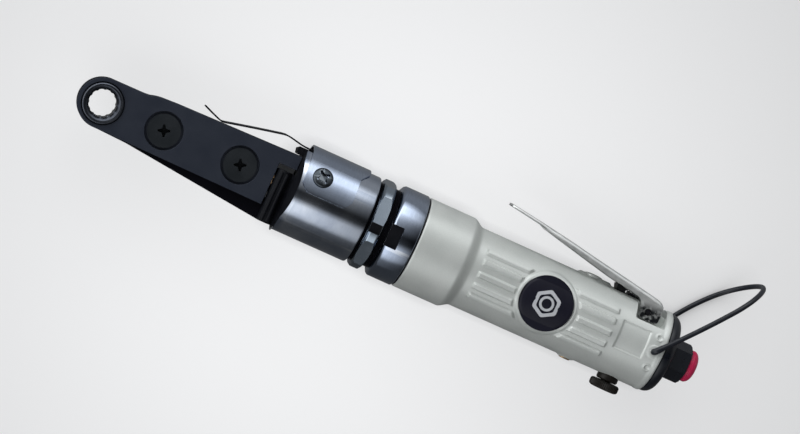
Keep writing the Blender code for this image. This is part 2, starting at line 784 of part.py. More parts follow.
def cut_controls(casting):
    """The seats of the throttle button, of the valve's bush below it and of the regulator."""
    button_room = 0.0005
    low = (BUTTON_X[0] - button_room, 0.0128, -0.0043)
    cut(casting, box_mesh(low, (BUTTON_X[1] + button_room, 0.02, 0.0043)))
    cut(casting, cylinder_mesh((STEM_X, 0), 0.0043, 0.004, 0.0135, "Y"))
    cut(casting, cylinder_mesh((REGULATOR_X, 0), 0.0051, -0.020, -0.0138, "Y"))
    cut(casting, cylinder_mesh((REGULATOR_X, 0), 0.0028, -0.0145, -0.0088, "Y"))


def cut_rear_sides(casting):
    """Pockets for the lever's ears, a flat behind the ribs, and the bail's holes, on each side."""
    for side in (-1, 1):
        low, high = sorted((side * 0.0062, side * 0.019))
        cut(casting, box_mesh((0.0965, 0.0102, low), (0.1106, 0.02, high)))
        low, high = sorted((side * 0.0166, side * 0.02))
        cut(casting, box_mesh((0.0920, -0.0050, low), (0.1055, 0.0072, high)))
        low, high = sorted((side * 0.0156, side * 0.019))
        cut(casting, cylinder_mesh((BAIL_X, 0), 0.0013, low, high, sides=12))


def build_handle_casting():
    casting = turned("handle_casting", casting_profile(), "silver_paint", WIDE_SIDES)
    cut_passages(casting)
    cut_controls(casting)
    cut_rear_sides(casting)
    # the boss between the lever's ears slopes down to the rear, and the pin goes through it
    boss_top = [(0.0970, 0.0172), (0.1106, 0.0146), (0.1106, 0.02), (0.0970, 0.02)]
    cut(casting, prism_mesh(boss_top, -0.0075, 0.0075))
    cut(casting, cylinder_mesh(LEVER_PIN, LEVER_PIN_HOLE, -0.019, 0.019, sides=12))
    join(casting, grip_ribs())
    # an oval pad on the lever's side, ahead of the button
    pad = arc((0.0806, 0), 0.0033, -90, 90, 6) + arc((0.0718, 0), 0.0033, 90, 270, 6)
    join(casting, prism_mesh(pad, 0.0165, 0.0187, "Y"))
    join(casting, curved_disc("badge_rim", 0.0170, 0.0185, BADGE_RADIUS + 0.0013))
    cut(casting, curved_disc("badge_seat", 0.0167, 0.0200, BADGE_RADIUS + GAP))


def build_badge():
    badge = curved_disc("badge", 0.0170, 0.0183, BADGE_RADIUS)
    badge.hide_render = False
    badge.display_type = "TEXTURED"


# Motor

ROTOR_RADIUS = 0.0108
CYLINDER_FRONT_X = 0.0033
CYLINDER_BACK_X = 0.0413
SHAFT_RADIUS = 0.0048


def rotor_outline():
    """The rotor's round body with five deep slots for its vanes."""
    slot_half, slot_root = 0.0011, 0.0054
    points = []
    for vane in range(5):
        middle = 72 * vane
        edge = math.degrees(math.asin(slot_half / ROTOR_RADIUS))
        turn = Matrix.Rotation(math.radians(middle), 2)
        for corner in ((slot_root, -slot_half), (slot_root, slot_half)):
            points.append(tuple(turn @ Vector(corner)))
        points += arc((0, 0), ROTOR_RADIUS, middle + edge, middle + 72 - edge, 6)
    return points


def build_rotor():
    body = (CYLINDER_FRONT_X + GAP, CYLINDER_BACK_X - GAP)
    rotor = prism("rotor", rotor_outline(), *body, "ground_steel", "X")
    join(rotor, cylinder_mesh((0, 0), SHAFT_RADIUS, -0.0268, body[0] + 0.001, "X", 24))
    join(rotor, cylinder_mesh((0, 0), 0.004, body[1] - 0.001, 0.0478, "X", 24))
    join(rotor, prism_mesh(gear_outline(SUN_TEETH, (0, 0)), GEAR_FRONT_X + 0.0003, -0.0260, "X"))


def build_vanes():
    """Five flat vanes, each drawn back into its slot."""
    half = 0.0008
    for number in range(5):
        low = (CYLINDER_FRONT_X + 2 * GAP, 0.0057, -half)
        high = (CYLINDER_BACK_X - 2 * GAP, 0.0105, half)
        vane = box_mesh(low, high)
        turn = Matrix.Rotation(math.radians(72 * number), 4, "X")
        bmesh.ops.transform(vane, matrix=turn, verts=vane.verts)
        solid(f"rotor_vane_{number + 1}", vane, "phenolic")


def build_motor_shell():
    cylinder = turned(
        "motor_cylinder",
        [
            (CYLINDER_FRONT_X, 0),
            (CYLINDER_FRONT_X, MOTOR_RADIUS),
            (CYLINDER_BACK_X, MOTOR_RADIUS),
            (CYLINDER_BACK_X, 0),
        ],
        "ground_steel",
    )
    through = (CYLINDER_FRONT_X - GAP, CYLINDER_BACK_X + GAP)
    off_centre = 0.0007
    cut(cylinder, cylinder_mesh((off_centre, 0), 0.0118, *through, "X", WIDE_SIDES))
    lip = 0.001
    seat = 0.0089
    front_plate_back = CYLINDER_FRONT_X - GAP
    front_plate = [
        (MOTOR_FRONT_X, seat),
        (MOTOR_FRONT_X, MOTOR_RADIUS),
        (front_plate_back, MOTOR_RADIUS),
        (front_plate_back, SHAFT_RADIUS + 0.0005),
        (front_plate_back - lip, SHAFT_RADIUS + 0.0005),
        (front_plate_back - lip, seat),
    ]
    turned("front_end_plate", front_plate, "aluminium")
    rear_plate_front = CYLINDER_BACK_X + GAP
    rear_plate = [
        (rear_plate_front, 0.0045),
        (rear_plate_front, MOTOR_RADIUS),
        (MOTOR_BACK_X, MOTOR_RADIUS),
        (MOTOR_BACK_X, seat),
        (rear_plate_front + lip, seat),
        (rear_plate_front + lip, 0.0045),
    ]
    turned("rear_end_plate", rear_plate, "aluminium")
    gasket_front = MOTOR_BACK_X + GAP
    gasket = [(gasket_front, 0.0062), (gasket_front, MOTOR_RADIUS)]
    gasket += [(gasket_front + 0.0008, MOTOR_RADIUS), (gasket_front + 0.0008, 0.0062)]
    turned("rear_gasket", gasket, "gasket_paper")


# Throttle


def build_lever():
    """A pressed steel channel: thin tip, folded sides, and an ear each side on the pin."""
    thick = 0.0010
    top_line = [
        (0.1078, 0.0178),
        (0.1063, 0.0190),
        (0.0909, 0.0221),
        (0.0603, 0.0275),
        (0.0298, 0.0329),
    ]
    strip = top_line + [(x, y - thick) for x, y in reversed(top_line)]
    strip[-1] = (0.1078, 0.0170)
    pivot = (*LEVER_PIN, 0)
    lever = prism("throttle_lever", strip, -0.0083, 0.0083, "zinc", pivot=pivot)
    flange = [
        (0.1078, 0.0173),
        (0.1063, 0.0185),
        (0.0909, 0.0216),
        (0.0460, 0.0295),
        (0.0480, 0.0281),
        (0.0734, 0.0226),
        (0.0909, 0.0198),
        (0.0953, 0.0190),
        (0.0973, 0.0176),
        (0.0984, 0.0125),
        (0.0994, 0.0112),
        (0.1070, 0.0108),
        (0.1080, 0.0125),
    ]
    for side in (-1, 1):
        low, high = sorted((side * 0.0069, side * 0.0083))
        join(lever, prism_mesh(flange, low, high))
    taper = [(0.0300, 0.0060), (0.0560, 0.0085), (0.0300, 0.0095)]
    for side in (-1, 1):
        cut(lever, prism_mesh([(x, side * z) for x, z in taper], 0.015, 0.040, "Y"))
    cut(lever, cylinder_mesh(LEVER_PIN, LEVER_PIN_HOLE, -0.0095, 0.0095, sides=12))
    prism("lever_pin", circle(LEVER_PIN, LEVER_PIN_RADIUS, 12), -0.0081, 0.0081, "ground_steel")


def build_throttle_valve():
    """The black button under the lever, and the stem and valve that it pushes open."""
    front, back = BUTTON_X
    top = [(back, 0.0180), (back - 0.002, 0.0184), (front + 0.001, 0.0205), (front, 0.0200)]
    outline = [(front + 0.0013, 0.0163), (back, 0.0163), *top]
    pivot = (STEM_X, 0.0163, 0)
    button = prism("throttle_button", outline, -0.0038, 0.0038, "black_plastic", pivot=pivot)
    cut(button, cylinder_mesh((0.0912, 0.0184), 0.0009, -0.0045, 0.0045, sides=12))
    stem = 0.0015
    disc = 0.0034
    profile = [(0, 0), (0, stem), (0.0112, stem), (0.0115, disc), (0.0128, disc), (0.0128, 0)]
    base = (STEM_X, 0.0163 - GAP, 0)
    turned_on("throttle_valve", profile, "brass", base, (0, -1, 0))
    bush = [(0, 0.0019), (0, 0.0040), (0.0072, 0.0040), (0.0072, 0.0019)]
    turned_on("valve_bush", bush, "brass", (STEM_X, 0.0126, 0), (0, -1, 0))
    coil("valve_spring", (STEM_X, 0.0026, 0), (STEM_X, -0.0066, 0), 0.0024, 0.00028, 5, "zinc")


def build_regulator():
    """A knob on the underside that turns in a bush."""
    bush = [(0, 0.0028), (0, 0.0048), (0.0062, 0.0048), (0.0062, 0.0028)]
    turned_on("regulator_bush", bush, "black_plastic", (REGULATOR_X, -0.0141, 0), (0, -1, 0))
    disc_top = 0.0207
    bottom = -KNOB_BOTTOM_Y
    profile = [
        (0.0092, 0),
        (0.0092, 0.0024),
        (disc_top, 0.0024),
        (disc_top, 0.0059),
        (disc_top + 0.0008, 0.0066),
        (bottom - 0.0009, 0.0066),
        (bottom, 0.0056),
        (bottom, 0),
    ]
    base = (REGULATOR_X, 0, 0)
    knob = turned_on("regulator_knob", profile, "black_plastic", base, (0, -1, 0))
    slot_low = (REGULATOR_X - 0.0045, KNOB_BOTTOM_Y - GAP, -0.0006)
    cut(knob, box_mesh(slot_low, (REGULATOR_X + 0.0045, KNOB_BOTTOM_Y + 0.0009, 0.0006)))


# Inlet end

HEXAGON_TURN = -7.5  # degrees, as its thread happened to end


def build_end_cap():
    front, back = CASTING_REAR_X + GAP, 0.1190
    outer = 0.0178
    wall = 0.0016
    inner = INLET_BORE + 0.0001
    rim = arc((back - 0.0045, outer - 0.0045), 0.0045, 90, 15, 3)
    floor = back - 0.0022
    sleeve = inner + 0.0012
    profile = [(front, outer - wall), (front, outer), *rim, (back, 0.0125), (back, inner)]
    profile += [(front, inner), (front, sleeve), (floor, sleeve), (floor, outer - wall - 0.0015)]
    cap = turned("end_cap", profile, "black_plastic", WIDE_SIDES)
    vents = []
    for number in range(6):
        angle = math.radians(60 * number)
        centre = (0.0113 * math.cos(angle), 0.0113 * math.sin(angle))
        vents.append(cylinder_mesh(centre, 0.0011, floor - GAP, back + GAP, "X", 8))
    cut(cap, merged(vents))
    felt_front = front + 0.0004
    felt_back = floor - GAP
    felt = [(felt_front, 0.0091), (felt_front, 0.0142), (felt_back, 0.0142), (felt_back, 0.0091)]
    turned("exhaust_muffler", felt, "felt")


def build_inlet():
    seat, back = 0.1194, 0.1282
    bore = 0.0056
    corner_radius = 0.0090
    hexagon = arc((0, 0), corner_radius, HEXAGON_TURN, HEXAGON_TURN + 300, 5)
    bushing = prism("inlet_bushing", hexagon, seat, back, "black_steel", "X")
    join(bushing, cylinder_mesh((0, 0), 0.0070, 0.101, seat + 0.001, "X", 24))
    cut(bushing, cylinder_mesh((0, 0), bore, 0.100, back + 0.001, "X", 24))
    screen = [(0.0988, 0.0022), (0.0988, 0.0069), (0.1004, 0.0069), (0.1004, 0.0022)]
    turned("inlet_screen", screen, "brass", SMALL_SIDES)
    plug = [
        (0.1210, 0),
        (0.1210, 0.0046),
        (0.1220, 0.0051),
        (back + GAP, 0.0051),
        (back + GAP, 0.0067),
        (0.1313, 0.0067),
        (0.1328, 0.0052),
        (0.1328, 0),
    ]
    turned("inlet_plug", plug, "red_plastic", SMALL_SIDES)


def build_bail():
    """A wire loop, a little bent from use, whose ends hook into the casting's sides."""
    z = BAIL_HALF_WIDTH
    hook = 0.0016
    straight = BAIL_LENGTH - z
    # (distance from the pivots, distance to the side), from a hook's tip to the crown
    half = [(0.0, 0.0162)]
    half += arc((hook, z - hook), hook, 180, 90, 3)
    half += [(straight / 2, z)]
    half += arc((straight, 0), z, 90, 0, 8)
    loop = half + [(along, -across) for along, across in reversed(half[:-1])]
    outwards = Vector((math.cos(BAIL_ANGLE), math.sin(BAIL_ANGLE), 0))
    aside = Vector((-math.sin(BAIL_ANGLE), math.cos(BAIL_ANGLE), 0))
    points = []
    for along, across in loop:
        bow = (-0.0008 if across > 0 else 0.0032) * math.sin(math.pi * along / BAIL_LENGTH)
        points.append(Vector((BAIL_X, 0, across)) + along * outwards + bow * aside)
    wire("hanging_bail", points, BAIL_WIRE_RADIUS, "black_wire", (BAIL_X, 0, 0))


def build_head():
    for level, side in (("upper", 1), ("lower", -1)):
        build_plate(f"head_plate_{level}", side)
        build_plate_screw(f"front_plate_screw_{level}", FRONT_POST_X, side)
        build_plate_screw(f"rear_plate_screw_{level}", REAR_POST_X, side)
    build_post("front_post", FRONT_POST_X, 0.0036)
    build_post("rear_post", REAR_POST_X, 0.0040)
    build_frame()
    build_ratchet_ring()
    build_rocker()
    build_pawls()
    build_bracket()
    build_leaf_spring()


def build_drive():
    build_front_housing()
    build_saddle_cover()
    for level, side in (("upper", 1), ("lower", -1)):
        build_saddle_screw(f"saddle_screw_{level}", side)
    build_crankshaft()
    build_crank_bushing()
    bearing("crank_bearing", -0.0519, -0.0400, 0.0058, 0.0100)
    build_planets()
    build_ring_gear()
    build_locknut()
    build_clamp_ring()


def build_handle():
    build_handle_casting()
    build_badge()
    build_motor_shell()
    bearing("front_bearing", -0.0037, 0.0016, SHAFT_RADIUS + GAP, 0.0086)
    bearing("rear_bearing", 0.0430, 0.0482, 0.0043, 0.0086)
    build_rotor()
    build_vanes()
    build_lever()
    build_throttle_valve()
    build_regulator()
    build_end_cap()
    build_inlet()
    build_bail()


clear_scene()
TOOL = make_tool_empty()
build_head()
build_drive()
build_handle()
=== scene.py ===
"""Looks, light and camera for the air ratchet.

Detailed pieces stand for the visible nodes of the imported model, and every node that stays gets a
procedural finish. Pieces are built in tool coordinates in millimetres: X runs along the tool's axis
from the ring head to the air inlet, the throttle lever is on the +Y side and the badge faces up
(+Z). The zero lies on the axis, as in the model. `piece` carries them over to the frame, in metres.
"""

from math import cos, hypot, pi, radians, sin, sqrt

import bmesh
import bpy
from mathutils import Matrix, Vector


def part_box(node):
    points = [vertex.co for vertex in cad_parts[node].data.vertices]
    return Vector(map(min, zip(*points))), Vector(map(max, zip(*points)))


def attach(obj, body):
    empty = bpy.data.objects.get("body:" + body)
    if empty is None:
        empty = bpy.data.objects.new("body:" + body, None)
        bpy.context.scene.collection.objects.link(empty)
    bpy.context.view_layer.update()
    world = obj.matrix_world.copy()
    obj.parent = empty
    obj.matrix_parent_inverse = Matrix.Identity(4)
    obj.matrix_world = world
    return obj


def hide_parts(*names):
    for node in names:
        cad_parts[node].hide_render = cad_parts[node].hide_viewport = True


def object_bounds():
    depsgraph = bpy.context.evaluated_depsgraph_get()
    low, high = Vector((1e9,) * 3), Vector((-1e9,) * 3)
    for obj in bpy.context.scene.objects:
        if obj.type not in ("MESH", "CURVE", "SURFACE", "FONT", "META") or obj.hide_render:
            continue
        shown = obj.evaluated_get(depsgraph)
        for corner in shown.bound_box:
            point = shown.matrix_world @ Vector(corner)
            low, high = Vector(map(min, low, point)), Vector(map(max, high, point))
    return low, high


MM = 0.001

# Places along the axis, as in the model
RING_X = -147.5
FRONT_POST_X = -119.4
REAR_POST_X = -84.2
POSTS = (FRONT_POST_X, REAR_POST_X)
BRACKET_FRONT_X = -61.1
HOUSING_FRONT_X = -58.0
HANDLE_FRONT_X = -3.1
CASTING_REAR_X = 113.6
SCREEN_FRONT_X = 98.8
BADGE_X = 58.2
BAIL_X = 109.3
REGULATOR_X = 99.5
LEVER_PIN = (102.1, 14.3)  # x and y
STEM_X = 92.5
PLUG_X = 75.4
SIDE_SCREW_X = 78.5
BUTTON_X = (85.6, 96.9)  # front and back

# Radii
NOSE_RADIUS = 10.8
COLLAR_RADIUS = 8.8
GRIP_RADIUS = 18.0
BARREL_RADIUS = 20.5
HOUSING_RADIUS = 19.5
CLAMP_RADIUS = 20.7
SPIGOT_RADIUS = 16.4
BADGE_RADIUS = 12.0

# Heights of the head's plates
PLATE_INNER_Z = 5.5
PLATE_OUTER_Z = 8.0

LEVELS = (("upper", 1), ("lower", -1))  # the badge's side and the far side

ROUND_STEPS = 128
FINE_ARC = 8

# Camera: where it stands from the tool's zero, in metres, and how it is turned, in degrees
CAMERA_DISTANCE = 1.39869
CAMERA_ASIDE = (-0.00438, -0.00167)
CAMERA_TURN = (-7.955, -1.2, 24.45)
CAMERA_ZERO = Vector((0.0057144, -0.0104987, 0.0206))
CAMERA_LENS = 145  # mm, on a sensor 36 mm wide


# Shapes in the plane


def arc(centre, radius, start, end, steps=FINE_ARC):
    """Points along an arc between two angles in degrees."""
    points = []
    for step in range(steps + 1):
        angle = radians(start + (end - start) * step / steps)
        points.append((centre[0] + radius * cos(angle), centre[1] + radius * sin(angle)))
    return points


def circle(centre, radius, steps=48):
    return arc(centre, radius, 0, 360, steps)[:-1]


def rounded(outline, radius, steps=4):
    """The outline with each corner turned into a short curve. Small sides keep small curves."""
    points = []
    count = len(outline)
    for i in range(count):
        here = Vector(outline[i])
        before = Vector(outline[i - 1])
        after = Vector(outline[(i + 1) % count])
        reach = min(radius, (before - here).length * 0.45, (after - here).length * 0.45)
        start = here + (before - here).normalized() * reach
        end = here + (after - here).normalized() * reach
        for step in range(steps + 1):
            t = step / steps
            point = start * (1 - t) ** 2 + here * (2 * t * (1 - t)) + end * t**2
            points.append(tuple(point))
    return points


def level_at(line, x):
    """The height of a line of (x, y) points at x, straight between the points."""
    if x <= line[0][0]:
        return line[0][1]
    for (x0, y0), (x1, y1) in zip(line, line[1:]):
        if x <= x1:
            return y0 + (y1 - y0) * (x - x0) / (x1 - x0)
    return line[-1][1]


def soft_step(value):
    value = min(max(value, 0), 1)
    return value * value * (3 - 2 * value)


def inside(value, low, high, edge):
    """1 between low and high and 0 outside, with soft edges."""
    return soft_step((value - low) / edge + 0.5) * soft_step((high - value) / edge + 0.5)


# Solids


def loft(rings, ends="filled"):
    """A skin over rings of as many points each. Its ends are filled, joined together or open."""
    mesh = bmesh.new()
    rows = [[mesh.verts.new(point) for point in ring] for ring in rings]
    count = len(rows[0])
    around = rows + rows[:1] if ends == "joined" else rows
    for here, there in zip(around, around[1:]):
        for i in range(count):
            j = (i + 1) % count
            mesh.faces.new([here[i], here[j], there[j], there[i]])
    if ends == "filled":
        mesh.faces.new(rows[0])
        mesh.faces.new(rows[-1])
    return mesh


def lathe(profile, steps=ROUND_STEPS):
    """A solid turned about X from a closed loop of (x, radius) points."""
    mesh = bmesh.new()
    rings = []
    for x, radius in profile:
        if radius <= 0:
            rings.append([mesh.verts.new((x, 0, 0))])
        else:
            rings.append([mesh.verts.new((x, y, z)) for y, z in circle((0, 0), radius, steps)])
    for here, there in zip(rings, rings[1:] + rings[:1]):
        for i in range(steps):
            j = (i + 1) % steps
            corners = [here[i % len(here)], here[j % len(here)]]
            corners += [there[j % len(there)], there[i % len(there)]]
            corners = list(dict.fromkeys(corners))
            if len(corners) > 2:
                mesh.faces.new(corners)
    return mesh


def prism(outline, low, high, along="Z"):
    """An outline pushed along an axis: (x, y) points for Z, (y, z) for X, (x, z) for Y."""
    place = {
        "Z": lambda a, b, c: (a, b, c),
        "X": lambda a, b, c: (c, a, b),
        "Y": lambda a, b, c: (a, c, b),
    }[along]
    return loft([[place(a, b, level) for a, b in outline] for level in (low, high)])


def box(low, high):
    outline = [(low[0], low[1]), (high[0], low[1]), (high[0], high[1]), (low[0], high[1])]
    return prism(outline, low[2], high[2])


def rod(centre, radius, low, high, along="Z", steps=48):
    return prism(circle(centre, radius, steps), low, high, along)


def moved(mesh, matrix):
    bmesh.ops.transform(mesh, matrix=matrix, verts=mesh.verts)
    return mesh


def turned(mesh, degrees, axis, about=(0, 0, 0)):
    turn = Matrix.Rotation(radians(degrees), 4, axis)
    return moved(mesh, Matrix.Translation(about) @ turn @ Matrix.Translation(-Vector(about)))


def stood(mesh, base, direction):
    """A solid turned about X, stood on the base point along the direction."""
    turn = Vector((1, 0, 0)).rotation_difference(Vector(direction)).to_matrix().to_4x4()
    return moved(mesh, Matrix.Translation(base) @ turn)


def mesh_data(mesh, name="shape"):
    """The solid as mesh data. The solid itself is used up."""
    data = bpy.data.meshes.new(name)
    mesh.to_mesh(data)
    mesh.free()
    return data


def new_object(name, data):
    obj = bpy.data.objects.new(name, data)
    bpy.context.scene.collection.objects.link(obj)
    return obj


def together(*meshes):
    whole = bmesh.new()
    for mesh in meshes:
        data = mesh_data(mesh)
        whole.from_mesh(data)
        bpy.data.meshes.remove(data)
    return whole


def carve(mesh, tool, operation="DIFFERENCE"):
    """The mesh after a Boolean with the tool, which is used up."""
    objects = []
    for shape in (mesh, tool):
        bmesh.ops.recalc_face_normals(shape, faces=shape.faces)
        objects.append(new_object("shape", mesh_data(shape)))
    target, cutter = objects
    modifier = target.modifiers.new("carve", "BOOLEAN")
    modifier.operation = operation
    modifier.solver = "EXACT"
    modifier.object = cutter
    graph = bpy.context.evaluated_depsgraph_get()
    carved = bmesh.new()
    carved.from_mesh(target.evaluated_get(graph).to_mesh())
    for obj in objects:
        data = obj.data
        bpy.data.objects.remove(obj)
        bpy.data.meshes.remove(data)
    return carved


def span(side, near, far):
    """Low and high coordinates of two distances from the middle, on the side 1 or -1."""
    return sorted((side * near, side * far))


FLAT = radians(0.3)  # faces this close to level become one
BEVEL_SEGMENTS = 3


def piece(name, mesh, look, slot, nodes=(), body="body", edge=0.0, sharp=32, flat=False):
    """A finished object on its body, in place of the nodes. Its edges are rounded by `edge` mm.

    `flat` keeps wide level faces free of shading that leaks in from their rounded edges.
    """
    bmesh.ops.recalc_face_normals(mesh, faces=mesh.faces)
    if edge:
        bmesh.ops.dissolve_limit(mesh, angle_limit=FLAT, verts=mesh.verts, edges=mesh.edges)
    data = mesh_data(moved(mesh, Matrix.Translation(ORIGIN) @ Matrix.Scale(MM, 4)), name)
    data.materials.append(LOOKS[look])
    if flat:
        data.shade_flat()
    else:
        data.shade_smooth()
    obj = new_object(name, data)
    if edge:
        bevel = obj.modifiers.new("rounded_edges", "BEVEL")
        bevel.width = edge * MM
        bevel.segments = BEVEL_SEGMENTS
        bevel.limit_method = "ANGLE"
        bevel.angle_limit = radians(sharp)
        bevel.harden_normals = not flat
    elif not flat:
        data.set_sharp_from_angle(angle=radians(sharp))
    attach(obj, body)
    if nodes:
        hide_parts(*nodes)


def replace(node, mesh, look, slot, **settings):
    """The finished piece that takes the place of one node."""
    piece(f"{node}_detail", mesh, look, slot, nodes=[node], **settings)


# Finishes


def wire(tree, node, inputs):
    """Each input takes another node's output, or a plain value."""
    for socket, source in inputs.items():
        if isinstance(source, bpy.types.NodeSocket):
            tree.links.new(source, node.inputs[socket])
        else:
            node.inputs[socket].default_value = source


def new_node(tree, kind, inputs=None, **settings):
    node = tree.nodes.new(kind)
    for key, value in settings.items():
        setattr(node, key, value)
    wire(tree, node, inputs or {})
    return node


def noise_field(tree, place, size, stretch, detail=5.0):
    """Noise whose features are about `size` mm across, pulled along the axes by `stretch`."""
    scale = [1 / (size * MM * pull) for pull in stretch]
    mapping = new_node(tree, "ShaderNodeMapping", {"Vector": place, "Scale": scale})
    inputs = {"Vector": mapping.outputs["Vector"], "Scale": 1.0, "Detail": detail}
    return new_node(tree, "ShaderNodeTexNoise", inputs).outputs["Fac"]


def mapped(tree, field, low, high, start=0.3, end=0.7):
    """The field spread over low to high."""
    inputs = {"Value": field, "From Min": start, "From Max": end, "To Min": low, "To Max": high}
    return new_node(tree, "ShaderNodeMapRange", inputs).outputs["Result"]


def mixed(tree, amount, first, second):
    """Two colours, or a colour and a colour socket, mixed by the amount."""
    one, other = [(*c, 1) if isinstance(c, tuple) else c for c in (first, second)]
    inputs = {"Factor": amount, 6: one, 7: other}
    return new_node(tree, "ShaderNodeMix", inputs, data_type="RGBA").outputs[2]


def product(tree, first, second):
    """Two sockets, or a socket and a number, multiplied."""
    inputs = {0: first, 1: second}
    return new_node(tree, "ShaderNodeMath", inputs, operation="MULTIPLY").outputs[0]


def coordinates(tree, place):
    return new_node(tree, "ShaderNodeSeparateXYZ", {"Vector": place}).outputs


EVEN = (1, 1, 1)
BROAD_DETAIL = 3.0
GRAIN_SHADE = 0.82  # the grain's dark side, as a share of the colour
RUBBED = (0.53, 0.60)  # pointiness where rubbing starts, and where an edge is bare
SPOT_DARK = (0.025, 0.028, 0.032)
COAT_ROUGHNESS = 0.12


def dark_spots(tree, place, x, y):
    """Dark spots past the tool's x and below its y, both in mm."""
    across = coordinates(tree, place)
    edge_x, edge_y = ORIGIN.x + x * MM, ORIGIN.y + y * MM
    behind = mapped(tree, across["X"], 0, 1, edge_x, edge_x + 1.5 * MM)
    below = mapped(tree, across["Y"], 1, 0, edge_y - 2 * MM, edge_y + MM)
    spots = noise_field(tree, place, 2.6, EVEN, BROAD_DETAIL)
    return product(tree, product(tree, behind, below), mapped(tree, spots, 0.15, 1, 0.38, 0.52))


def finish(name, colour, second, roughness, metallic=0.0, grain=0.35, blotch=9.0,
           rough_spread=0.08, bump=0.1, relief=0.03, stretch=EVEN, worn=None, coat=0.0,
           shine=0.5, spotted=None):
    """A procedural finish. Fine grain and broad blotches mix two colours and vary the roughness.

    `grain` and `blotch` are sizes in mm, and `relief` is the grain's height in mm. `worn` is the
    colour of bare, rubbed edges. `spotted` is a tool x and y in mm: past the one and below the
    other, the surface is darker in spots.
    """
    made = bpy.data.materials.new(name)
    made.use_nodes = True
    tree = made.node_tree
    shader = tree.nodes["Principled BSDF"]
    place = new_node(tree, "ShaderNodeTexCoord").outputs["Object"]
    fine = noise_field(tree, place, grain, stretch)
    broad = noise_field(tree, place, blotch, EVEN, BROAD_DETAIL)
    tint = mixed(tree, mapped(tree, broad, 0, 1), colour, second)
    shade = tuple(GRAIN_SHADE * channel for channel in colour)
    tint = mixed(tree, mapped(tree, fine, 0, 0.5), tint, shade)
    if worn:
        bare = new_node(tree, "ShaderNodeNewGeometry").outputs["Pointiness"]
        patchy = mapped(tree, broad, 0.2, 1)
        tint = mixed(tree, product(tree, mapped(tree, bare, 0, 1, *RUBBED), patchy), tint, worn)
    if spotted:
        tint = mixed(tree, dark_spots(tree, place, *spotted), tint, SPOT_DARK)
    rough = mapped(tree, broad, roughness - rough_spread, roughness + rough_spread, 0.25, 0.75)
    relief_inputs = {"Strength": bump, "Distance": relief * MM, "Height": fine}
    normal = new_node(tree, "ShaderNodeBump", relief_inputs).outputs["Normal"]
    wire(tree, shader, {
        "Base Color": tint, "Roughness": rough, "Metallic": metallic, "Normal": normal,
        "Specular IOR Level": shine, "Coat Weight": coat, "Coat Roughness": COAT_ROUGHNESS,
    })
    return made


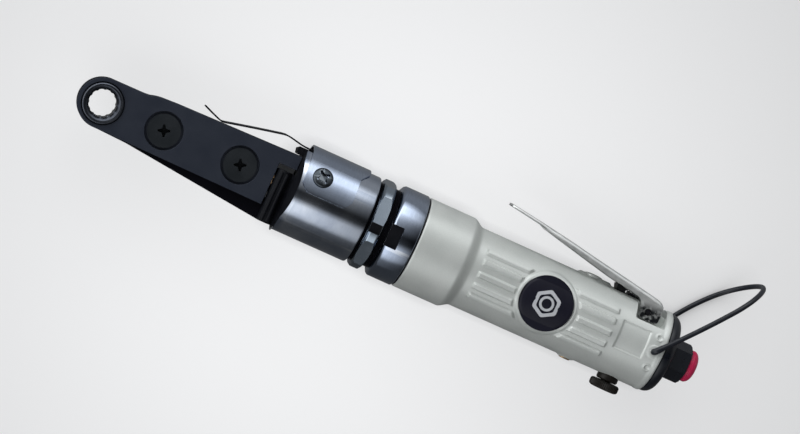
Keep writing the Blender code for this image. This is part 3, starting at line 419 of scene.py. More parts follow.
def make_finishes():
    along_axis, round_axis = (14, 1, 1), (1, 9, 9)
    return {
        "oxide": finish("oxide_black", (0.020, 0.0255, 0.040), (0.026, 0.032, 0.047), 0.55, 0.2,
            grain=0.25, bump=0.25, shine=0.3),
        "screw": finish("screw_black", (0.014, 0.018, 0.022), (0.020, 0.024, 0.029), 0.46, 0.4,
            grain=0.3, bump=0.3, shine=0.4),
        "ring": finish("ring_black", (0.050, 0.056, 0.070), (0.075, 0.083, 0.10), 0.28, 0.85,
            grain=0.3, bump=0.15, worn=(0.30, 0.32, 0.36)),
        "bracket": finish("bracket_black", (0.004, 0.0045, 0.007), (0.008, 0.009, 0.012), 0.5, 0.1,
            grain=0.3, bump=0.4, shine=0.18),
        # The frame is black steel made darker still: painted shade for the gap between the two
        # plates.
        "frame": finish("frame_black_painted_gap_shade", (0.0015, 0.0015, 0.003), (0.003, 0.003, 0.006), 0.6,
            grain=0.3, bump=0.2, shine=0.06),
        "gloss": finish("blued_gloss", (0.37, 0.43, 0.545), (0.43, 0.49, 0.60), 0.15, 1.0,
            grain=0.5, blotch=14, rough_spread=0.03, bump=0.04, stretch=(1, 6, 6),
            worn=(0.85, 0.89, 0.95)),
        "nut": finish("blued_nut", (0.33, 0.39, 0.46), (0.37, 0.43, 0.50), 0.22, 1.0, grain=0.3,
            bump=0.12, worn=(0.6, 0.65, 0.7)),
        # Near black: the gasket's dark joint, and painted shade in the groove, slots, notches and
        # pin hole.
        "thread": finish("dark_joint_and_painted_shade", (0.006, 0.0065, 0.009), (0.01, 0.01, 0.014), 0.4, 0.2,
            shine=0.3),
        "pan_head": finish("pan_head_black", (0.050, 0.060, 0.070), (0.075, 0.085, 0.10), 0.3, 0.9,
            grain=0.4, bump=0.2, worn=(0.25, 0.28, 0.31)),
        "paint": finish("silver_paint", (0.63, 0.66, 0.635), (0.69, 0.715, 0.69), 0.40, 0.25,
            grain=0.30, bump=0.40, relief=0.04, worn=(0.76, 0.78, 0.76), coat=0.12),
        "zinc": finish("bright_zinc", (0.56, 0.58, 0.57), (0.70, 0.71, 0.70), 0.32, 0.85,
            grain=0.6, blotch=4, rough_spread=0.1, bump=0.12, stretch=along_axis),
        # The lever's ear, where it sits down in the handle's notch, is darker in spots.
        "lever": finish("lever_zinc", (0.68, 0.70, 0.69), (0.84, 0.85, 0.84), 0.36, 0.7, grain=0.6,
            blotch=4, rough_spread=0.1, bump=0.12, stretch=along_axis, spotted=(97.2, 17.2)),
        "ground": finish("ground_steel", (0.40, 0.41, 0.43), (0.50, 0.51, 0.53), 0.28, 1.0,
            grain=0.2, stretch=along_axis, bump=0.2),
        "aluminium": finish("turned_aluminium", (0.55, 0.56, 0.57), (0.66, 0.67, 0.68), 0.33, 1.0,
            grain=0.2, stretch=round_axis, bump=0.2),
        "brass": finish("turned_brass", (0.55, 0.36, 0.20), (0.68, 0.48, 0.28), 0.34, 0.9,
            grain=0.2, stretch=round_axis, bump=0.15),
        "plastic": finish("black_plastic", (0.009, 0.010, 0.013), (0.013, 0.014, 0.018), 0.42,
            grain=0.2, bump=0.3, shine=0.35),
        "cap": finish("cap_plastic", (0.007, 0.009, 0.014), (0.010, 0.012, 0.019), 0.30,
            grain=0.18, bump=0.3, shine=0.55),
        "knob": finish("knob_plastic", (0.012, 0.010, 0.008), (0.018, 0.014, 0.011), 0.42,
            grain=0.2, bump=0.3, shine=0.35),
        "badge": finish("badge_gloss", (0.009, 0.009, 0.018), (0.012, 0.012, 0.022), 0.42,
            rough_spread=0.04, grain=1.5, bump=0.02, shine=0.22),
        "silver": finish("motif_silver", (0.60, 0.62, 0.66), (0.70, 0.71, 0.74), 0.45, 0.2,
            grain=0.2),
        "phenolic": finish("phenolic", (0.17, 0.08, 0.03), (0.24, 0.12, 0.05), 0.6, grain=0.3,
            stretch=along_axis),
        "paper": finish("gasket_paper", (0.22, 0.18, 0.12), (0.29, 0.25, 0.18), 0.9, bump=0.5),
        "felt": finish("felt", (0.25, 0.25, 0.23), (0.36, 0.36, 0.33), 0.95, bump=0.9, relief=0.2),
        "red": finish("red_plastic", (0.62, 0.018, 0.090), (0.72, 0.030, 0.125), 0.36, grain=0.3,
            coat=0.1),
        "wire": finish("coated_wire", (0.007, 0.009, 0.014), (0.014, 0.017, 0.026), 0.36,
            grain=1.2, blotch=3, bump=0.3, relief=0.06, shine=0.45),
    }


# Ring head

PLATE_POCKET = 8.3  # radius of the pocket round a plate screw's head
PLATE_HOLE = 2.9
PLATE_SCREW_HEAD = 7.2
PLATE_SCREW_SHANK = 2.6
RING_STEPS = 480  # a whole number for each tooth and for each corner of the bore
BORE_FLAT = 5.5  # half of 11 mm across the flats
BORE_CORNER = 6.0
TOOTH_TURN = 9  # degrees from tooth to tooth
TOOTH_TIP = 9.6
TOOTH_DEPTH = 0.6
TOOTH_FACE = 0.2  # share of a tooth that its steep side takes


def nose():
    return arc((RING_X, 0), NOSE_RADIUS, 268, 92, 40)


def plate_outline():
    step_x = BRACKET_FRONT_X - 8.2
    tab_x = BRACKET_FRONT_X - 0.3
    upper = [(-133.0, 10.9), (-130.5, 11.1), (-128.0, 11.8), (-125.5, 12.2), (-118, 12.6)]
    tab = [(tab_x, 13.8), (tab_x, 7.7), (step_x, 7.7)]
    return nose() + upper + tab + [(step_x, -11.4), (-125, -11.0)]


def cross(centre, reach, half):
    """A cross recess: four short arms that widen towards the middle."""
    points = []
    for quarter in range(4):
        turn = Matrix.Rotation(radians(90 * quarter), 2)
        for corner in ((reach, -half * 0.7), (reach, half * 0.7), (half * 1.7, half * 1.7)):
            points.append(tuple(Vector(centre) + turn @ Vector(corner)))
    return points


def make_plates():
    for level, side in LEVELS:
        low, high = span(side, PLATE_INNER_Z, PLATE_OUTER_Z)
        plate = prism(plate_outline(), low, high)
        tools = [rod((RING_X, 0), COLLAR_RADIUS + 0.35, low - 1, high + 1, steps=96)]
        tools += [rod((x, 0), PLATE_POCKET, *span(side, 6.4, 9.5), steps=96) for x in POSTS]
        plate = carve(plate, together(*tools))
        plate = carve(plate, together(*[rod((x, 0), PLATE_HOLE, low - 1, high + 1) for x in POSTS]))
        replace(f"head_plate_{level}", plate, "oxide", "black_steel", edge=0.35, flat=True)
        for place, x in zip(("front", "rear"), POSTS):
            make_plate_screw(f"{place}_plate_screw_{level}", x, side)


def make_plate_screw(name, x, side):
    """A wide flat head with a cross recess; its shank reaches into the post."""
    screw = rod((x, 0), PLATE_SCREW_HEAD, *span(side, 6.8, PLATE_OUTER_Z - 0.1), steps=96)
    screw = carve(screw, rod((x, 0), PLATE_SCREW_SHANK, *span(side, 1.0, 6.9)), "UNION")
    recess = prism(cross((x, 0), 2.7, 0.55), *span(side, PLATE_OUTER_Z - 4, PLATE_OUTER_Z + 1))
    screw = carve(screw, turned(recess, 20, "Z", (x, 0, 0)))
    replace(name, screw, "screw", "black_steel", edge=0.2, flat=True)


def make_head_frame():
    half = PLATE_INNER_Z - 0.03
    back = BRACKET_FRONT_X - 0.3
    outer = nose() + [(-133, 10.7), (-128, 11.4), (-125.5, 11.9), (back, 13.2), (back, 10.5)]
    pocket = arc((RING_X, 0), 10.0, 35, 308, 40)
    inner = [(-66, 10.3), (-121, 9.9), (-130, 9.2)] + pocket
    inner += [(-138, -9.2), (-130, -9.6), (-121, -9.9), (-66, -10.3)]
    outer_back = [(back, -10.5), (back, -18.1), (-68, -18.1), (-132, -11.4)]
    frame_mesh = prism(outer + inner + outer_back, -half, half)
    frame_mesh = carve(frame_mesh, rod((-134.5, 0), 1.1, -10.7, -9.0, "Y", 16))
    # Its near black finish paints the shade in the gap between the two plates, where its edge
    # shows.
    replace("head_frame", frame_mesh, "frame", "black_steel", edge=0.25)


def star_radius(turn):
    """The bore's radius at an angle in degrees: two hexagons, one turned by 30 degrees."""
    to_corner = min(abs((turn + 30) % 60 - 30), abs(turn % 60 - 30))
    return min(BORE_FLAT / cos(radians(30 - to_corner)), BORE_CORNER)


def tooth_radius(turn):
    part = (turn / TOOTH_TURN) % 1
    fallen = part / TOOTH_FACE if part < TOOTH_FACE else (1 - part) / (1 - TOOTH_FACE)
    return TOOTH_TIP - TOOTH_DEPTH * fallen


def make_ratchet_ring():
    """Teeth round the middle, a collar through each plate, and a twelve point bore."""
    half = PLATE_INNER_Z - 0.3
    proud = PLATE_OUTER_Z + 1.3
    collar = [(COLLAR_RADIUS, half), (COLLAR_RADIUS, proud - 0.7), (8.6, proud - 0.25)]
    collar += [(8.2, proud), (7.5, proud), (7.2, proud - 0.1), (6.3, proud - 1.1)]
    rows = [(tooth_radius, -half), (tooth_radius, half)] + collar
    rows += [(star_radius, proud - 1.6), (star_radius, 1.6 - proud)]
    rows += [(radius, -level) for radius, level in reversed(collar)]
    rings = []
    for radius, level in rows:
        ring = []
        for step in range(RING_STEPS):
            turn = 360 * step / RING_STEPS
            out = radius(turn) if callable(radius) else radius
            away = radians(turn)
            ring.append((RING_X + out * cos(away), out * sin(away), level))
        rings.append(ring)
    replace("ratchet_ring", loft(rings, "joined"), "ring", "black_steel", body="ring", sharp=30)


def make_bracket():
    """The collar that clamps the head to the housing, with a lug behind each plate."""
    front, back, full = BRACKET_FRONT_X, HOUSING_FRONT_X - 0.3, HOUSING_RADIUS
    thin = full - 0.35
    profile = [(front, 6.5), (front, 18.2), (front + 0.5, 19.1), (front + 1.2, full)]
    profile += [(back, full), (back, 6.5)]
    bracket = lathe([(x, min(radius, full - 0.4)) for x, radius in profile])
    cheeks = [(front + 0.3, thin), (front + 0.3, 20.2), (front + 0.6, full)]
    cheeks = lathe(cheeks + [(HOUSING_FRONT_X, full), (HOUSING_FRONT_X, thin)])
    cheeks = carve(cheeks, box((front - 5, 17.4, -20), (0, 30, 20)))
    lug_front, lug_back = front - 7.9, front + 0.5
    for side in (-1, 1):
        slope = [(back - 0.4, side * 20.5), (front - 1, side * 9.8)]
        slope += [(front - 1, side * 21.5), (back - 0.4, side * 21.5)]
        bracket = carve(bracket, prism(slope, -21, 21, "Y"))
        cheeks = carve(cheeks, prism(slope, -21, 21, "Y"))
        lug = [(lug_front + 0.4, side * PLATE_INNER_Z)]
        lug += arc((lug_front + 3.4, side * 6.8), 3.0, 180, 180 - side * 180, 12)
        lug += [(lug_back, side * 9.8), (lug_back, side * PLATE_INNER_Z)]
        bracket = carve(bracket, prism(lug, -18.0, 5.6, "Y"), "UNION")
        bead = [rod((lug_front + at, side * 9.6), 0.75, -17.2, 4.6, "Y", 24) for at in (2.3, 4.6)]
        bracket = carve(bracket, together(*bead), "UNION")
    rest = [(lug_back, 14.2), (lug_back, 17.8), (-62.6, 17.8), (-64.4, 16.4), (-64.0, 14.2)]
    bracket = carve(bracket, prism(rest, -5.2, 5.2), "UNION")
    bracket = carve(bracket, box((front - 5, 17.5, -20), (0, 30, 20)))
    replace("head_bracket", bracket, "bracket", "black_steel", edge=0.22)
    piece("housing_cheeks_detail", cheeks, "gloss", "gloss_steel", sharp=30)


def make_leaf_spring():
    """A thin spring: clamped under the cover, arched over the head, touching it near the tip."""
    tail = 18.1
    line = [(-42.5, tail), (-60.5, tail), (-63.0, tail + 0.2), (-66.0, tail + 0.8)]
    line += [(-69.0, tail + 1.35), (-71.0, tail + 1.5), (-72.5, tail + 1.3), (-78, 18.2)]
    line += [(-86.0, 16.4), (-93.0, 14.75), (-97.2, 13.75), (-98.4, 13.6), (-99.6, 13.85)]
    line += [(-103.5, 15.25), (-107.4, 16.8)]
    thickness = 0.32
    rings = []
    for i, point in enumerate(line):
        heading = Vector(line[min(i + 1, len(line) - 1)]) - Vector(line[max(i - 1, 0)])
        heading.normalize()
        aside = Vector((heading.y, -heading.x)) * thickness
        half = 6.0 - 1.2 * soft_step((-96.0 - point[0]) / 12)
        upper = Vector(point) + aside
        lower = Vector(point) - aside
        rings.append([(*upper, -half), (*upper, half), (*lower, half), (*lower, -half)])
    replace("leaf_spring", loft(rings), "bracket", "black_steel", edge=0.12, sharp=50)


# Front housing, nut and clamp ring

SADDLE_X = -51.0
SADDLE_TILT = radians(28)  # the screws lean this far towards the lever


def at_saddle(mesh, side):
    """A solid turned about X, moved onto a saddle screw's own axis."""
    return stood(mesh, (SADDLE_X, 0, 0), (0, sin(SADDLE_TILT), side * cos(SADDLE_TILT)))


def saddle_hole(start, side):
    return at_saddle(lathe([(start, 0), (start, 2.1), (22.5, 2.1), (22.5, 0)], 32), side)


def thread_band(front, back, turns):
    pitch = (back - front) / turns
    profile = [(front, 16.5)]
    for turn in range(turns):
        x = front + pitch * turn
        profile += [(x, 17.2), (x + pitch / 2, 17.9)]
    profile += [(back, 17.2), (back, 16.5)]
    return lathe(profile)


def make_housing():
    """The gloss tube over the gear train, with its thread showing between nut and clamp ring."""
    front, back, full = HOUSING_FRONT_X, HANDLE_FRONT_X - 7.0, HOUSING_RADIUS
    profile = [(front, 6.8), (front, full - 0.3), (front, full), (-26.9, full)]
    profile += [(-26.4, full - 0.2), (-26.1, full - 0.8), (-26.1, SPIGOT_RADIUS)]
    profile += [(back, SPIGOT_RADIUS), (back, 14.7), (-39.5, 14.7), (-39.5, 10.3)]
    profile += [(-52.2, 10.3), (-52.2, 6.8)]
    housing = lathe(profile, 160)
    housing = carve(housing, box((front - 1, 17.5, -20), (-41.5, 30, 20)))
    for side in (-1, 1):
        housing = carve(housing, saddle_hole(13.5, side))
    replace("front_housing", housing, "gloss", "gloss_steel", sharp=26)
    # The thread is near black: painted shade for its deep groove between nut and clamp ring.
    thread = together(thread_band(-26.0, -24.7, 2), thread_band(-18.9, -16.1, 4))
    piece("front_thread_detail", thread, "thread", "gloss_steel", sharp=26)


def make_saddle_cover():
    """Thin sheet cut flat, with its corners clipped and a tongue each way, then bent round."""
    bend = HOUSING_RADIUS + 1.1
    thickness = 0.85
    front, shoulder, back = -58.3, -35.4, -31.7
    edge = radians(86) * bend
    tongue_foot = radians(41) * bend
    tongue_top = radians(23) * bend
    clip = 3.4
    half = [(front, tongue_foot), (front, edge - clip), (front + clip, edge)]
    half += [(shoulder - clip * 0.8, edge), (shoulder, edge - clip), (shoulder, tongue_foot)]
    half += [(back, tongue_top)]
    outline = rounded(half + [(x, -y) for x, y in reversed(half)], 0.8, 3)
    sheet = prism(outline, -thickness, 0)
    steps = 72
    for step in range(1, steps):
        cut_at = -edge + 2 * edge * step / steps
        everything = list(sheet.verts) + list(sheet.edges) + list(sheet.faces)
        bmesh.ops.bisect_plane(sheet, geom=everything, plane_co=(0, cut_at, 0), plane_no=(0, 1, 0))
    for vert in sheet.verts:
        angle = vert.co.y / bend
        radius = bend + vert.co.z
        vert.co = Vector((vert.co.x, radius * cos(angle), radius * sin(angle)))
    for side in (-1, 1):
        sheet = carve(sheet, saddle_hole(18.5, side))
    replace("saddle_cover", sheet, "gloss", "gloss_steel", edge=0.36, sharp=40)


def make_saddle_screw(level, side):
    profile = [(14.6, 0), (14.6, 1.8), (20.7, 1.8), (20.7, 4.3), (21.0, 4.45), (21.35, 4.2)]
    profile += [(21.7, 3.4), (21.85, 2.0), (21.9, 0)]
    screw = at_saddle(lathe(profile, 64), side)
    recess = prism(cross((0, 0), 3.1, 0.6), 20.5, 23.5, "X")
    screw = carve(screw, at_saddle(turned(recess, 12, "X"), side))
    replace(f"saddle_screw_{level}", screw, "pan_head", "gloss_steel", edge=0.12)


def make_locknut():
    front, back = -24.5, -19.1
    corner, flat = 20.4, 19.1
    profile = [(front, 16.8), (front, corner - 1.2), (front + 0.8, corner - 0.2)]
    profile += [(front + 1.2, corner), (back - 1.2, corner), (back - 0.8, corner - 0.2)]
    profile += [(back, corner - 1.2), (back, 16.8)]
    nut = lathe(profile, 144)
    for number in range(6):
        block = box((front - 1, flat, -13), (back + 1, 30, 13))
        nut = carve(nut, turned(block, 60 * number + 10, "X"))
    for name, turn in (("upper", 92), ("lower", 272)):
        slot = turned(box((front - 1, 17.8, -2.2), (back + 1, 30, 2.2)), turn, "X")
        nut = carve(nut, slot)
        # A near black sheet on each slot's floor: painted shade in the slot.
        floor = turned(box((front + 0.3, 17.5, -2.1), (back - 0.3, 18.1, 2.1)), turn, "X")
        piece(f"locknut_slot_painted_shade_{name}", floor, "thread", "gloss_steel")
    replace("locknut", nut, "nut", "gloss_steel", edge=0.2, sharp=14)


def make_clamp_ring():
    front, back = -16.0, HANDLE_FRONT_X - 0.8
    inner, full = SPIGOT_RADIUS + 0.3, CLAMP_RADIUS
    profile = [(front, inner), (front, full - 1.4), (front + 0.5, full - 0.5)]
    profile += [(front + 1.1, full - 0.1), (front + 1.5, full), (back - 0.5, full)]
    profile += [(back - 0.15, full - 0.2), (back, full - 0.5), (back, inner)]
    ring = lathe(profile, 160)
    for level, side in reversed(LEVELS):
        low, high = span(side, 17.4, 23)
        ring = carve(ring, box((front - 1, -5.6, low), (-10.7, 4.4, high)))
        # A near black sheet on each notch's floor: painted shade in the notch.
        low, high = span(side, 17.5, 17.9)
        notch_shade_sheet = box((front + 0.1, -5.5, low), (-10.8, 4.3, high))
        piece(f"clamp_notch_painted_shade_{level}", notch_shade_sheet, "thread", "gloss_steel")
    gasket = lathe([(back + 0.1, 16.9), (back + 0.1, 20.0), (back + 0.7, 20.0), (back + 0.7, 16.9)])
    piece("clamp_gasket_detail", gasket, "thread", "gasket_paper")
    replace("clamp_ring", ring, "gloss", "gloss_steel", edge=0.25, sharp=38)


# Handle

RIB_ROWS = (-34, -18, -1.5, 16.5, 32.5)
RIB_GROUPS = ((26.3, 49.0), (67.5, 88.8))
BARREL_END, BARREL_SLOPE = 17.6, 5.4  # where the barrel starts to narrow, and over how far
PANEL_X, PANEL_Y, PANEL_DEPTH = (92.4, 105.3), (-5.1, 7.3), 0.6
RIB_HALF = 1.2
RIB_HEIGHT = 1.1
BADGE_RIM = 13.3
FACE_HALF = 60  # degrees that a face reaches each way, and the same for the sides between
SIDE_HALF = 30
MOTIF_LIFT = 0.03  # keeps the motif clear of the badge under it
MOTIF_THICK = 0.06
# Raised and sunk rounds on the two faces: x, y, radius, width of the soft edge, height
FACE_ROUNDS = [(BADGE_X, 0, BADGE_RIM + 0.5, 0.7, 0.5), (BAIL_X, 0, 3.2, 0.8, 0.25)]
for dent_y in (6.4, -7.4):
    FACE_ROUNDS += [(109.6, dent_y, 2.0, 0.6, 0.22), (109.6, dent_y, 1.2, 0.5, -0.5)]


def rib_height(x, away):
    """Height of the ribs. `away` is the angle in degrees from the middle of the face."""
    y = GRIP_RADIUS * sin(radians(away))
    off_badge = soft_step((hypot(x - BADGE_X, y) - 14.2) / 0.9)
    height = 0
    for row in RIB_ROWS:
        aside = abs(radians(away - row)) * GRIP_RADIUS
        crest = soft_step((RIB_HALF + 0.45 - aside) / 0.9)
        for front, back in RIB_GROUPS:
            height += crest * inside(x, front, back, 0.8)
    return RIB_HEIGHT * height * off_badge


def casting_radius(x, angle):
    """Radius of the handle's skin. The angle is in degrees from the top towards the lever."""
    radius = GRIP_RADIUS
    narrowed = soft_step((x - BARREL_END) / BARREL_SLOPE)
    radius += (BARREL_RADIUS - GRIP_RADIUS) * (1 - narrowed)
    radius -= 0.4 * (1 - soft_step((x - HANDLE_FRONT_X + 0.3) / 0.8))
    away = (angle + 90) % 180 - 90
    y = GRIP_RADIUS * sin(radians(angle))
    if abs(away) < FACE_HALF:
        radius += rib_height(x, away)
        radius -= PANEL_DEPTH * inside(x, *PANEL_X, 0.6) * inside(y, *PANEL_Y, 0.6)
        for at_x, at_y, reach, edge, height in FACE_ROUNDS:
            radius += height * soft_step((reach - hypot(x - at_x, y - at_y)) / edge)
    radius += 0.25 * soft_step((x - 110.9) / 0.8)
    radius -= 0.35 * soft_step((x - CASTING_REAR_X + 0.5) / 0.5)
    if abs(angle - 90) < SIDE_HALF:
        aside = radians(angle - 90) * GRIP_RADIUS
        along = max(abs(x - 76.2) - 4.3, 0)
        radius += 0.9 * soft_step((3.9 - hypot(along, aside)) / 1.3)
    if abs(angle - 270) < SIDE_HALF:
        aside = radians(angle - 270) * GRIP_RADIUS
        radius += 0.5 * soft_step((4.2 - hypot(x - SIDE_SCREW_X, aside)) / 1.2)
    return radius


def casting_angles():
    """Close together over the ribbed faces, further apart between them."""
    angles = []
    for middle in (0, 180):
        angles += [middle + 0.8 * step for step in range(-50, 51)]
        angles += [middle + 40 + 2.0 * step for step in range(1, 50)]
    return angles


def casting_ring(x, angles, radii):
    """Points round the axis, from the top towards the lever's side."""
    ring = []
    for angle, radius in zip(angles, radii):
        turn = radians(angle)
        ring.append((x, radius * sin(turn), radius * cos(turn)))
    return ring


def casting_skin():
    angles = casting_angles()
    spigot = [SPIGOT_RADIUS] * len(angles)
    rings = [casting_ring(x, angles, spigot) for x in (-9.7, HANDLE_FRONT_X)]
    steps = 270
    shoulder = 0.001  # the barrel starts this far behind the spigot's last ring
    for step in range(steps + 1):
        x = HANDLE_FRONT_X + shoulder + (CASTING_REAR_X - HANDLE_FRONT_X - shoulder) * step / steps
        rings.append(casting_ring(x, angles, [casting_radius(x, a % 360) for a in angles]))
    return loft(rings)


def casting_hollows():
    """The motor's bore, the air passages and the seats of everything that fits in the handle."""
    open_end = CASTING_REAR_X + 1
    shapes = [
        rod((0, 0), 14.9, -11, 50, "X", 64),
        rod((0, 0), 3.0, 49, 87, "X", 24),
        rod((0, 0), 7.3, 86, open_end, "X", 64),
        rod((REGULATOR_X, 0), 5.1, -20, -13.8, "Y"),
        rod((REGULATOR_X, 0), 2.8, -14.5, -8.8, "Y"),
        rod((STEM_X, 0), 4.3, 4, 13.5, "Y"),
        box((BUTTON_X[0] - 0.5, 12.8, -4.3), (BUTTON_X[1] + 0.4, 20, 4.3)),
        rod(LEVER_PIN, 1.6, -19, 19, steps=32),
        rod((BADGE_X, 0), BADGE_RADIUS + 0.35, 17.0, 25, steps=96),
        prism([(97, 17.2), (110.6, 14.6), (110.6, 20), (97, 20)], -7.5, 7.5),
    ]
    shapes += [rod((-4, side * 11.8), 2.1, 49, open_end, "X", 24) for side in (-1, 1)]
    slot = arc((93.2, 0), 1.6, -90, 90) + arc((88.8, 0), 1.6, 90, 270)
    shapes.append(prism(slot, -20, -16.6, "Y"))
    ear = rounded([(96.5, 10.2), (110.4, 10.2), (110.4, 20), (96.5, 20)], 1.2)
    for side in (-1, 1):
        shapes.append(prism(ear, *span(side, 6.2, 19)))
        shapes.append(rod((BAIL_X, 0), 1.4, *span(side, 15.6, 20), steps=32))
    return shapes


def make_casting():
    casting = casting_skin()
    for shape in casting_hollows():
        casting = carve(casting, shape)
    replace("handle_casting", casting, "paint", "silver_paint", sharp=38)


def make_handle_plugs():
    """The bright plug ahead of the button, and the small screw on the side away from the lever."""
    dome = [(18.2, 0), (18.2, 4.0), (19.05, 4.0), (19.3, 3.4), (19.5, 1.8), (19.55, 0)]
    plug = stood(lathe(dome, 64), (PLUG_X, 0, 0), (0, 1, 0))
    piece("handle_plug_detail", plug, "paint", "silver_paint", sharp=40)
    dome = [(18.0, 0), (18.0, 2.6), (18.75, 2.6), (18.95, 2.1), (19.0, 0)]
    screw = stood(lathe(dome, 64), (SIDE_SCREW_X, 0, 0), (0, -1, 0))
    screw = carve(screw, box((SIDE_SCREW_X - 2.5, -19.5, -0.35), (SIDE_SCREW_X + 2.5, -18.6, 0.35)))
    piece("handle_side_screw_detail", screw, "brass", "brass", edge=0.08)


def badge_height(x, y):
    """The badge is a low dome laid over the grip's curve."""
    out = hypot(x, y) / BADGE_RADIUS
    curve = sqrt(GRIP_RADIUS**2 - (0.75 * y) ** 2) - GRIP_RADIUS
    edge = 0.45 * (1 - soft_step((out - 0.9) / 0.1))
    return 17.75 + curve + edge + 0.25 * (1 - out * out)


def on_badge(outline, lift=0.0):
    """The points of an outline, laid on the badge's dome."""
    return [(BADGE_X + x, y, badge_height(x, y) + lift) for x, y in outline]


def badge_skin(low, count=40):
    outlines = [circle((0, 0), BADGE_RADIUS * ring / count, 96) for ring in range(1, count + 1)]
    foot = [(BADGE_X + x, y, low) for x, y in outlines[-1]]
    return loft([on_badge(outline) for outline in outlines] + [foot])


def motif_band(outer, inner):
    """A flat band between two outlines with as many points each, laid on the badge's dome."""
    band = loft([on_badge(outer, MOTIF_LIFT), on_badge(inner, MOTIF_LIFT)], "open")
    solid = bmesh.ops.extrude_face_region(band, geom=band.faces[:])
    raised = [item for item in solid["geom"] if isinstance(item, bmesh.types.BMVert)]
    bmesh.ops.translate(band, verts=raised, vec=(0, 0, MOTIF_THICK))
    return band


def hexagon_outline(corner):
    return rounded(arc((0, 0), corner, 30, 330, 5), 0.8, 3)


def make_badge():
    """A blank domed badge, with a plain nut outline set in its middle."""
    replace("badge", badge_skin(17.05), "badge", "badge_black", sharp=50)
    rim = motif_band(hexagon_outline(6.4), hexagon_outline(4.7))
    bore = motif_band(circle((0, 0), 3.3, 32), circle((0, 0), 2.2, 32))
    piece("badge_motif_detail", together(rim, bore), "silver", "badge_black", sharp=40)


# Throttle

LEVER_TOP = [(29.8, 32.7), (45, 30.7), (60.3, 28.4), (73.4, 26.1), (90.9, 23.3), (99.7, 21.8),
             (104.6, 20.9), (106.4, 20.2), (107.8, 18.8)]
LEVER_FOOT = [(29.8, 31.7), (46.0, 29.3), (48.0, 28.4), (60.3, 25.7), (73.4, 22.9), (82.6, 21.0),
              (90.9, 19.7), (95.3, 18.9), (96.9, 18.0), (97.6, 16.8), (98.4, 12.4), (99.0, 11.3),
              (100.0, 10.9), (106.6, 10.8), (107.4, 11.2), (107.8, 12.2)]
LEVER_HALF = [(29.8, 5.6), (30.6, 6.3), (33, 6.8), (52, 8.2), (60, 8.3)]
LEVER_THICK = 0.9


def lever_section(x):
    """The sheet at one station: out along its outside and back along its inside."""
    top, foot, half = level_at(LEVER_TOP, x), level_at(LEVER_FOOT, x), level_at(LEVER_HALF, x)
    foot = min(foot, top - LEVER_THICK)
    fold = min(1.9, top - foot + 0.02)
    tight = max(fold - LEVER_THICK, 0.05)
    crown = 0.12
    outside = [(-half, foot)] + arc((-half + fold, top - fold), fold, 180, 90)
    outside += [(0, top + crown)] + arc((half - fold, top - fold), fold, 90, 0) + [(half, foot)]
    half_in = half - LEVER_THICK
    under = top - LEVER_THICK
    low = min(foot, under)
    inside_line = [(half_in, low)] + arc((half_in - tight, under - tight), tight, 0, 90)
    inside_line += [(0, under + crown)]
    inside_line += arc((-half_in + tight, under - tight), tight, 90, 180) + [(-half_in, low)]
    return [(x, y, z) for z, y in outside + inside_line]


def make_lever():
    stations = [29.8, 30.2, 31, 32.5, 35, 38, 41, 44, 46, 48]
    stations += [50 + 2.5 * step for step in range(18)]
    stations += [93.8, 95.3, 96.2, 96.9, 97.3, 97.6, 98.0, 98.4, 98.7, 99.0, 99.5, 100, 102, 104]
    stations += [105.2, 106, 106.6, 107.0, 107.4, 107.8]
    lever = loft([lever_section(x) for x in stations])
    lever = carve(lever, rod(LEVER_PIN, 1.6, -10, 10, steps=40))
    replace("throttle_lever", lever, "lever", "zinc", body="lever", edge=0.12, sharp=40)


def make_button():
    front, back = BUTTON_X
    top = [(back, 18.0), (back - 2, 18.4), (front + 1, 20.5), (front, 20.0)]
    outline = rounded([(front + 1.3, 16.3), (back, 16.3), *top], 0.5, 3)
    button = prism(outline, -3.8, 3.8)
    button = carve(button, rod((91.2, 18.4), 1.0, -5, 5, steps=32))
    replace("throttle_button", button, "plastic", "black_plastic", body="valve", edge=0.25)


def make_regulator():
    """The knob with a fine knurl, and the neck that it turns in."""
    neck = [(0, 2.8), (0, 4.8), (5.6, 4.8), (6.2, 4.4), (6.2, 2.8)]
    neck = stood(lathe(neck, 64), (REGULATOR_X, -14.1, 0), (0, -1, 0))
    replace("regulator_bush", neck, "knob", "black_plastic", sharp=30)
    teeth = 48
    rings = []
    for depth, radius, knurl in ((20.7, 5.6, 0), (20.8, 6.0, 0.05), (21.4, 6.5, 0.12),
                                 (23.4, 6.5, 0.12), (24.0, 6.1, 0.05), (24.3, 5.4, 0)):
        ring = []
        for step in range(teeth * 4):
            out = radius + knurl * cos(step * pi / 2)
            turn = 2 * pi * step / (teeth * 4)
            ring.append((REGULATOR_X + out * cos(turn), -depth, out * sin(turn)))
        rings.append(ring)
    knob = loft(rings)
    knob = carve(knob, rod((REGULATOR_X, 0), 2.4, -21, -9.2, "Y"), "UNION")
    knob = carve(knob, box((REGULATOR_X - 4.5, -24.8, -0.6), (REGULATOR_X + 4.5, -23.3, 0.6)))
    replace("regulator_knob", knob, "knob", "black_plastic", body="regulator", sharp=30)


# Inlet end

VENT_CIRCLE = 11.4  # radius of the circle of small vents


def make_end_cap():
    front, back = CASTING_REAR_X + 0.3, 119.0
    inner, outer, bend = 7.4, 17.8, 4.3
    rim = arc((back - bend, outer - bend), bend, 90, 12, 12)
    profile = [(front, 16.2), (front, outer - 0.3), (front + 0.3, outer), *rim, (back, 12.4)]
    profile += [(back, 10.0), (back - 0.5, 9.6), (back - 0.5, inner), (front, inner)]
    profile += [(front, 8.6), (back - 2.2, 8.6), (back - 2.2, 14.7)]
    turns = [radians(60 * number + spread) for number in range(6) for spread in (-8, 0, 8)]
    centres = [(VENT_CIRCLE * cos(turn), VENT_CIRCLE * sin(turn)) for turn in turns]
    vents = [rod(centre, 0.55, back - 3, back + 1, "X", 20) for centre in centres]
    cap = carve(lathe(profile), together(*vents))
    replace("end_cap", cap, "cap", "black_plastic", sharp=34)


